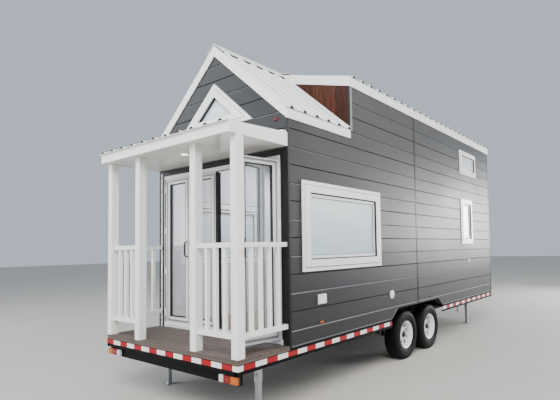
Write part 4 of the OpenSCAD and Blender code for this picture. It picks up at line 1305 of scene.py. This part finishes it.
class TINYHOUSE_OT_trailer(bpy.types.Operator):
    """Reflective tape, lamps, leaf springs, legs' pins and painted steel"""

    bl_idname = "tiny_house.trailer"
    bl_label = "Trailer"

    def execute(self, context):
        for name in ("main_beams", "cross_members", "perimeter_channel", "lamp_beam", "drawbar", "coupler",
                     "axles", "wheel_boxes"):
            self.paint(name, "chassis_black")
        for name in ("drawbar_jack", "leg_sleeves", "leg_front_right", "leg_front_left", "leg_rear_right",
                     "leg_rear_left"):
            self.paint(name, "galvanised")
        self.floor()
        self.tape()
        self.lamps()
        self.springs()
        self.fasteners()
        return {"FINISHED"}

    def paint(self, name, finish_name):
        node_object = frame["nodes"][name]
        node_object.data.materials.clear()
        node_object.data.materials.append(FINISH[finish_name])

    def floor(self):
        """Plank floor inside and an underside in the black chassis finish"""
        s = Shape()
        a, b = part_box("floor_slab")
        bay_a, bay_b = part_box("wheel_boxes")
        inner, board = 0.86, 0.19
        for y0, y1, x in ((a.y, bay_a.y, b.x), (bay_a.y, bay_b.y, inner), (bay_b.y, b.y, b.x)):
            s.block((-x, y0, a.z), (x, y1, WALL_Z), "chassis_black")
        for y0, y1, x in ((WALL_Y + 0.07, bay_a.y, HALF_W - WALL_T), (bay_a.y, bay_b.y, inner),
                          (bay_b.y, REAR_Y - WALL_T, HALF_W - WALL_T)):
            count = math.ceil(2 * x / board)
            for i in range(count):
                left = -x + i * board
                s.block((left + 0.001, y0, WALL_Z), (min(left + board, x) - 0.001, y1, FLOOR_Z),
                        "floor_wood")
        settle(s.make("floor_boards"), "floor_wood", ["floor_slab"])

    def tape(self):
        """Red and white lengths in turn along the front and both sides"""
        s = Shape()
        a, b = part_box("reflective_tape")
        step, thick = sizes().tape, 0.001
        names = ("tape_red", "tape_white")
        for i, (near, far) in enumerate(self.lengths(-HALF_W, HALF_W, step, step, 0.02)):
            s.block((near + 0.0004, a.y, a.z), (far - 0.0004, a.y + thick, b.z), names[i % 2])
        bay = bay_outline()
        for start, stop, first, turn in ((DECK_Y, bay[1][0] - 0.002, 0.067, i),
                                         (bay[4][0] + 0.002, REAR_Y, step, 1)):
            for k, (near, far) in enumerate(self.lengths(start, stop, first, step, 0.03)):
                for side in (1, -1):
                    p, q = sorted((side * (HALF_W - thick), side * HALF_W))
                    s.block((p, near + 0.0004, a.z), (q, far - 0.0004, b.z), names[(turn + k) % 2])
        settle(s.make("tape_lengths"), "tape", ["reflective_tape"])

    @staticmethod
    def lengths(start, stop, first, step, least):
        """Ends of each length of tape; the last one takes up a rest shorter than least."""
        result, length = [], first
        while start < stop - 1e-6:
            end = min(start + length, stop)
            if stop - end < least:
                end = stop
            result.append((start, end))
            start, length = end, step
        return result

    def lamps(self):
        """Combination lamps of three lenses in a black tray, marker lamps and gable lamps"""
        s = Shape()
        lamp_w, lamp_h, z0 = 0.260, 0.075, low("lamps").z
        beam = low("lamp_beam").y
        right = Shape()
        x0 = HALF_W - 0.020 - lamp_w
        right.block((x0, beam - 0.012, z0), (x0 + lamp_w, beam, z0 + lamp_h), "gasket")
        bounds = (x0 + 0.003, x0 + 0.066, x0 + 0.166, x0 + lamp_w - 0.003)
        for i, name in enumerate(("lens_clear", "lens_red", "lens_amber")):
            right.block((bounds[i], beam - 0.038, z0 + 0.004),
                        (bounds[i + 1] - 0.001, beam - 0.010, z0 + lamp_h - 0.004), name)
        for x in (x0 + 0.03, x0 + 0.116, x0 + 0.215):
            right.disc((x, beam - 0.0395, z0 + lamp_h / 2), "Y", 0.005, 0.003, "bolt_steel", 10)
        marker_z = WALL_Z + 0.182
        bay_middle = (low("wheel_boxes").y + high("wheel_boxes").y) / 2
        for y in (WALL_Y + 0.533, bay_middle + 0.405):
            right.block((HALF_W, y - 0.030, marker_z), (HALF_W + 0.004, y + 0.030, marker_z + 0.024),
                        "gasket")
            loops = [[(HALF_W + x, u, v) for u, v in rect(y - half, marker_z + foot, y + half,
                                                          marker_z + 0.024 - foot)]
                     for x, half, foot in ((0.003, 0.029, 0.001), (0.014, 0.025, 0.003))]
            right.hull(*loops, "lens_amber" if y < bay_middle else "lens_red")
        gx, gz = HALF_W - 0.195, LOW_EAVE - 0.005
        right.block((gx, WALL_Y - 0.004, gz), (gx + 0.060, WALL_Y, gz + 0.030), "gasket")
        loops = [[(u, WALL_Y - n, v) for u, v in rect(gx + side, gz + foot, gx + 0.060 - side,
                                                      gz + 0.030 - foot)]
                 for n, side, foot in ((0.003, 0.002, 0.002), (0.014, 0.010, 0.006))]
        right.hull(*loops, "lens_red")
        s.join(right, ALONG_X, MIRROR_X)
        settle(s.make("lamp_sets"), "lamp", ["lamps"], bevel=0.0015)

    def springs(self):
        """Packs of curved leaves with eyes, plates, U-bolts and hangers"""
        s = Shape()
        a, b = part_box("leaf_springs")
        axle_y = {round(w["pos_m"][1], 4) for w in frame["joints"] if w["type"] == "hinge"}
        for y in sorted(axle_y):
            for x in (0.75, -0.75):
                self.spring(s, x, y, a.z, b.z)
        settle(s.make("spring_packs"), "chassis_black", ["leaf_springs"])

    @staticmethod
    def spring(s, x, y, foot, top):
        """One pack over its axle, from the foot of its plate to the top of its hangers"""
        reach, steps = 0.33, 14
        for k in range(5):
            base = foot + 0.006 * (4 - k) + 0.002
            lower, upper = [], []
            for i in range(steps + 1):
                off = (-1 + 2 * i / steps) * (reach - 0.055 * k)
                z = base + (top - foot - 0.06) * (off / reach) ** 2
                lower.append((y + off, z))
                upper.append((y + off, z + 0.0055))
            s.prism(lower + upper[::-1], "X", x - 0.03, x + 0.03, "chassis_black")
        for eye in (y - 0.318, y + 0.318):
            s.lathe([(0.008, -0.03), (0.018, -0.03), (0.018, 0.03), (0.008, 0.03)], (x, eye, top - 0.022),
                    "X", "chassis_black", 20)
            s.pin((x, eye, top - 0.022), "X", 0.008, -0.040, 0.040, "bolt_steel")
            for cheek in (-0.036, 0.031):
                s.block((x + cheek, eye - 0.022, top - 0.048), (x + cheek + 0.005, eye + 0.022, top),
                        "chassis_black")
        for half, long, low_z, high_z in ((0.034, 0.062, -0.004, 0.002), (0.046, 0.055, -0.084, -0.076)):
            s.block((x - half, y - long, foot + low_z), (x + half, y + long, foot + high_z),
                    "chassis_black")
        for bolt_y in (y - 0.045, y + 0.045):
            s.rod([(x + dx, bolt_y, foot + dz) for dx, dz in (
                (-0.038, -0.085), (-0.038, 0.03), (-0.030, 0.040), (0.030, 0.040), (0.038, 0.03),
                (0.038, -0.085))], 0.006, "bolt_steel", 8)

    def fasteners(self):
        """Leg pins, gusset plates over the sleeves, and the hitch's latch and bolts"""
        s = Shape()
        a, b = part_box("leg_sleeves")
        half, pin_z = 0.030, a.z + 0.075
        for side in (1, -1):
            for y in (a.y + half, b.y - half):
                x = side * (b.x - half)
                for near, far in ((-0.055, -half), (half, 0.050)):
                    s.pin((x, y, pin_z), "Y", 0.009, near, far, "bolt_steel")
                s.rod([(x, y - 0.050, pin_z), (x, y - 0.058, pin_z - 0.020), (x, y - 0.056, pin_z - 0.055)],
                      0.004, "bolt_steel", 8)
                s.block((x - half - 0.010, y - half - 0.006, b.z - 0.060),
                        (x + half + 0.010, y - half, b.z), "galvanised")
                for dx in (-0.028, 0.028):
                    s.disc((x + dx, y - half - 0.014, b.z - 0.030), "Y", 0.009, 0.008, "bolt_steel", 6)
        c0, c1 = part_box("coupler")
        s.block((-0.022, c1.y - 0.150, c1.z), (0.022, c1.y - 0.040, c1.z + 0.030), "galvanised")
        latch = ((0.060, 0.025), (0.110, 0.050), (0.220, 0.060))
        s.rod([(0, c1.y - back, c1.z + up) for back, up in latch], 0.009, "galvanised", 12)
        for y in (c0.y + 0.05, c0.y + 0.14):
            for side in (1, -1):
                s.disc((side * 0.030, y, c1.z), "Z", 0.012, 0.010, "bolt_steel", 6)
        settle(s.make("pins_and_latch"), "galvanised", bevel=0.001, steps=1)


# ---------------------------------------------------------------- wheels

class TINYHOUSE_OT_wheels(bpy.types.Operator):
    """Tyres with treads and pressed steel rims with their nuts and caps"""

    bl_idname = "tiny_house.wheels"
    bl_label = "Wheels"

    def execute(self, context):
        tyre, rim = self.tyre(), self.rim()
        for end in ("front", "rear"):
            for word, side in (("right", 1), ("left", -1)):
                a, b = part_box(f"tyre_{end}_{word}")
                centre = (a + b) / 2
                place = Matrix.Translation(centre) @ Matrix.Scale(side, 4, (1, 0, 0))
                for shape, label, slot in ((tyre, "tyre", "tyre"), (rim, "rim", "rim_white")):
                    whole = Shape()
                    whole.join(shape, place)
                    settle(whole.make(f"{label}_{end}_{word}_shown"), slot, [f"{label}_{end}_{word}"],
                           f"wheel_{end}_{word}")
        return {"FINISHED"}

    def tyre(self):
        """Carcass with rim guard, shoulder and bead rings, and rows of tread blocks"""
        s = Shape()
        a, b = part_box("tyre_front_right")
        r, w = (b.z - a.z) / 2, (b.x - a.x) / 2
        bead = 0.191
        half = [(bead + out, w - inside) for out, inside in (
            (0, 0.028), (0.012, 0.016), (0.024, 0.012), (0.030, 0.014), (0.040, 0.006), (0.062, 0.001),
            (0.080, 0), (0.084, 0.0035), (0.100, 0.003), (0.104, 0.001))]
        half += [(r - inside, w - back) for inside, back in (
            (0.042, 0.006), (0.030, 0.012), (0.016, 0.022), (0.010, 0.034))]
        outline = [(p, -q) for p, q in half] + [(p, q) for p, q in reversed(half)]
        s.lathe(outline, (0, 0, 0), "X", "tyre", 72)
        rows = ((-0.092, -0.062, 72, 0.0), (-0.055, -0.022, 60, 0.5), (-0.015, 0.015, 60, 0.0),
                (0.022, 0.055, 60, 0.5), (0.062, 0.092, 72, 0.0))
        lean, floor = 0.012, r - 0.015
        for x0, x1, count, shift in rows:
            shoulder = x0 if x0 < -0.06 else x1 if x1 > 0.09 else None
            for i in range(count):
                a0 = 2 * math.pi * (i + shift) / count
                a1 = a0 + 2 * math.pi / count * 0.80
                bottom, top = [], []
                for x, angle in ((x0, a0), (x1, a0 + lean), (x1, a1 + lean), (x0, a1)):
                    crown = r - 0.007 if x == shoulder else r - 0.0005
                    bottom.append((x, floor * math.sin(angle), floor * math.cos(angle)))
                    top.append((x, crown * math.sin(angle), crown * math.cos(angle)))
                s.hull(bottom, top, "tyre")
        return s

    def rim(self):
        """Stepped barrel, deep dish with round hand holes, hub pilot, nuts, cap and valve; the holes' cut
        walls and a disc behind the dish are black, as painted shade in the holes
        """
        s = Shape()
        barrel = [(0.183, -0.084), (0.196, -0.092), (0.203, -0.096), (0.203, -0.090), (0.194, -0.078),
                  (0.190, -0.060), (0.178, -0.050), (0.178, 0.052), (0.190, 0.064), (0.193, 0.082),
                  (0.202, 0.088), (0.203, 0.0955), (0.199, 0.0965), (0.192, 0.090), (0.185, 0.086),
                  (0.182, 0.066), (0.171, 0.054), (0.171, -0.050), (0.182, -0.062)]
        s.lathe(barrel, (0, 0, 0), "X", "rim_white", 64)
        dish = Shape()
        dish.lathe([(0.048, 0.040), (0.066, 0.044), (0.086, 0.042), (0.098, 0.030), (0.108, 0.026),
                    (0.148, 0.026), (0.160, 0.018), (0.168, 0.004), (0.1715, -0.010), (0.1665, -0.012),
                    (0.162, 0.000), (0.156, 0.012), (0.146, 0.020), (0.106, 0.020), (0.096, 0.024),
                    (0.084, 0.036), (0.066, 0.038), (0.048, 0.034)], (0, 0, 0), "X", "rim_white", 64)
        piece = dish.make("dish")
        for spot in around(8, 0.128, 0.5):
            hole = Shape()
            # The cut walls of each hole take this black finish: painted shade.
            hole.pin(spot, "X", 0.025, -0.05, 0.08, "gasket", 20)
            carve(piece, hole)
        mesh = piece.data
        kinds = ["rim_white" if mesh.materials[p.material_index] == FINISH["rim_white"] else "gasket"
                 for p in mesh.polygons]
        s.add([v.co for v in mesh.vertices], [tuple(p.vertices) for p in mesh.polygons], kinds)
        bpy.data.objects.remove(piece)
        for spot in around(6, 0.072):
            s.lathe([(0, 0.040), (0.013, 0.040), (0.013, 0.046), (0.0105, 0.058), (0, 0.060)], spot, "X",
                    "bolt_steel", 6)
            s.lathe([(0, 0.058), (0.006, 0.058), (0.005, 0.070), (0, 0.070)], spot, "X", "bolt_steel", 12)
        s.lathe([(0.023, 0.0), (0.0475, 0.0), (0.0475, 0.046), (0.044, 0.052), (0.023, 0.054)], (0, 0, 0),
                "X", "gasket", 32)
        s.lathe([(0, 0.054), (0.024, 0.054), (0.031, 0.056), (0.033, 0.061), (0.028, 0.066), (0, 0.067)],
                (0, 0, 0), "X", "gasket", 32)
        # A black disc behind the dish: painted shade seen through the hand holes.
        s.lathe([(0.060, -0.070), (0.150, -0.070), (0.156, -0.062), (0.156, -0.004), (0.150, 0.004),
                 (0.060, 0.004)], (0, 0, 0), "X", "closure", 48)
        s.rod([(0.060, 0, 0.176), (0.082, 0, 0.168), (0.092, 0, 0.166)], 0.0045, "gasket", 10)
        return s


# ---------------------------------------------------------------- fittings

class TINYHOUSE_OT_fittings(bpy.types.Operator):
    """Socket box, round inlet, vents and small wall fittings"""

    bl_idname = "tiny_house.fittings"
    bl_label = "Wall fittings"

    def execute(self, context):
        s = Shape()
        y, z = -3.127, 1.115
        x = HALF_W
        s.hull(*([(x + n, u, v) for u, v in rect(y - half, z - tall, y + half, z + tall)]
                 for n, half, tall in ((0, 0.073, 0.056), (0.014, 0.070, 0.053))), "fitting_white")
        for side in (-1, 1):
            c = y + side * 0.034
            s.hull(self.flap(x, c, z, 0.030, 0.046, 0.040, 0.013, 0.013),
                   self.flap(x, c, z, 0.026, 0.042, 0.036, 0.025, 0.023), "fitting_white")
            s.rod([(x + 0.019, c - 0.026, z + 0.044), (x + 0.019, c + 0.026, z + 0.044)], 0.005,
                  "fitting_white", 12)
            for dz in (-0.048, 0.048):
                s.disc((x + 0.0135, y + side * 0.064, z + dz), "X", 0.003, 0.0015, "bolt_steel", 8)
        centre = (x, -1.495, 1.010)
        s.lathe([(0, 0), (0.0625, 0), (0.0625, 0.005), (0.058, 0.009), (0.047, 0.010), (0.045, 0.017),
                 (0.040, 0.020), (0, 0.020)], centre, "X", "fitting_white", 40)
        s.lathe([(0.0625, 0), (0.069, 0), (0.069, 0.002), (0.0625, 0.002)], centre, "X", "gasket", 40)
        s.block((x + 0.012, centre[1] - 0.018, centre[2] + 0.040),
                (x + 0.019, centre[1] + 0.018, centre[2] + 0.056), "fitting_white")
        settle(s.make("wall_sockets"), "fitting_white", ["wall_fittings"], bevel=0.0015)
        v = Shape()
        v.lathe([(0, 0), (0.036, 0), (0.036, 0.005), (0.030, 0.012), (0, 0.013)], (x, 1.715, 1.388), "X",
                "fitting_white", 28)
        v.lathe([(0, 0), (0.020, 0), (0.020, 0.006), (0, 0.007)], (x, 2.605, 0.860), "X", "gasket", 20)
        settle(v.make("rear_vents"), "fitting_white")
        return {"FINISHED"}

    @staticmethod
    def flap(x, y, z, half, below, above, low_n, high_n):
        """Corners of a socket flap, which may lean out less at its top"""
        return [(x + low_n, y - half, z - below), (x + low_n, y + half, z - below),
                (x + high_n, y + half, z + above), (x + high_n, y - half, z + above)]


# ---------------------------------------------------------------- stage

class TINYHOUSE_OT_stage(bpy.types.Operator):
    """Plain floor, soft lights and the camera"""

    bl_idname = "tiny_house.stage"
    bl_label = "Stage"

    def execute(self, context):
        self.floor()
        self.lights()
        self.camera()
        return {"FINISHED"}

    def floor(self):
        tree, shader = finish("studio_floor", 0.85)
        speck = noise(tree, position(tree), 1.2, Detail=5.0)
        tree.links.new(mix_colour(tree, speck, (0.50, 0.47, 0.43, 1), (0.56, 0.53, 0.49, 1)),
                       shader.inputs["Base Color"])
        mesh = bpy.data.meshes.new("studio_floor")
        reach = 60.0
        mesh.from_pydata([(x, y, 0) for x, y in rect(-reach, -reach, reach, reach)], [], [(0, 1, 2, 3)])
        mesh.materials.append(FINISH["studio_floor"])
        placed("studio_floor", mesh)

    def lights(self):
        world = bpy.data.worlds.new("studio_air")
        bpy.context.scene.world = world
        world.use_nodes = True
        back = world.node_tree.nodes["Background"]
        back.inputs[0].default_value = (0.66, 0.76, 0.86, 1)
        back.inputs[1].default_value = 0.80
        for name, place, target, size, power, tone in (
            ("key", (7.0, -12.0, 11.0), (0.6, -1.0, 1.5), 8.0, 2900.0, (1.0, 0.97, 0.94)),
            ("fill", (-9.0, -12.0, 6.0), (0.0, -3.5, 2.0), 9.0, 1300.0, (0.94, 0.97, 1.0)),
            ("far", (12.0, 9.0, 7.0), (1.0, 1.5, 2.0), 8.0, 1300.0, (1.0, 0.98, 0.95)),
            ("sheen", (5.2, 11.0, 2.8), (1.18, 1.2, 2.0), 2.6, 900.0, (0.98, 0.99, 1.0)),
            ("inside", (0.0, -1.6, 3.0), (0.0, -2.4, 0.7), 1.4, 78.0, (0.96, 0.96, 1.0)),
        ):
            data = bpy.data.lights.new(name, "AREA")
            data.energy = power
            data.size = size
            data.color = tone
            lamp = placed(name, data)
            lamp.location = place
            lamp.rotation_euler = (Vector(target) - Vector(place)).to_track_quat("-Z", "Y").to_euler()

    def camera(self):
        data = bpy.data.cameras.new("camera")
        data.sensor_width = 36.0
        data.lens = 28.52
        data.shift_x = -0.0854
        data.shift_y = 0.0446
        data.clip_end = 300.0
        yaw, pitch, roll = 0.644321, 0.051013, -0.017848
        ahead = Vector((-math.sin(yaw) * math.cos(pitch), math.cos(yaw) * math.cos(pitch), math.sin(pitch)))
        level = Vector((math.cos(yaw), math.sin(yaw), 0))
        over = level.cross(ahead)
        right = math.cos(roll) * level + math.sin(roll) * over
        up = -math.sin(roll) * level + math.cos(roll) * over
        turn = Matrix((right, up, -ahead)).transposed().to_4x4()
        camera = placed("camera", data)
        camera.matrix_world = Matrix.Translation((4.299, -7.142, 1.696)) @ turn
        bpy.context.scene.camera = camera


class TINYHOUSE_PT_panel(bpy.types.Panel):
    """The house's sizes, colours and pieces"""

    bl_idname = "TINYHOUSE_PT_panel"
    bl_label = "Tiny House"
    bl_space_type = "VIEW_3D"
    bl_region_type = "UI"
    bl_category = "Tiny House"

    def draw(self, context):
        layout = self.layout
        for group in (context.scene.tiny_house_sizes, context.scene.tiny_house_colours):
            box = layout.box()
            for name in group.__annotations__:
                box.prop(group, name)
        for operator in OPERATORS:
            layout.operator(operator.bl_idname)


OPERATORS = (
    TINYHOUSE_OT_finishes,
    TINYHOUSE_OT_walls,
    TINYHOUSE_OT_roofs,
    TINYHOUSE_OT_porch,
    TINYHOUSE_OT_door,
    TINYHOUSE_OT_windows,
    TINYHOUSE_OT_trailer,
    TINYHOUSE_OT_wheels,
    TINYHOUSE_OT_fittings,
    TINYHOUSE_OT_stage,
)
CLASSES = (TinyHouseSizes, TinyHouseColours) + OPERATORS + (TINYHOUSE_PT_panel,)


def register():
    for cls in CLASSES:
        bpy.utils.register_class(cls)
    bpy.types.Scene.tiny_house_sizes = bpy.props.PointerProperty(type=TinyHouseSizes)
    bpy.types.Scene.tiny_house_colours = bpy.props.PointerProperty(type=TinyHouseColours)


def unregister():
    del bpy.types.Scene.tiny_house_colours
    del bpy.types.Scene.tiny_house_sizes
    for cls in reversed(CLASSES):
        bpy.utils.unregister_class(cls)


def main():
    register()
    for operator in OPERATORS:
        getattr(bpy.ops.tiny_house, operator.bl_idname.split(".")[1])()


if __name__ == "__main__":
    main()
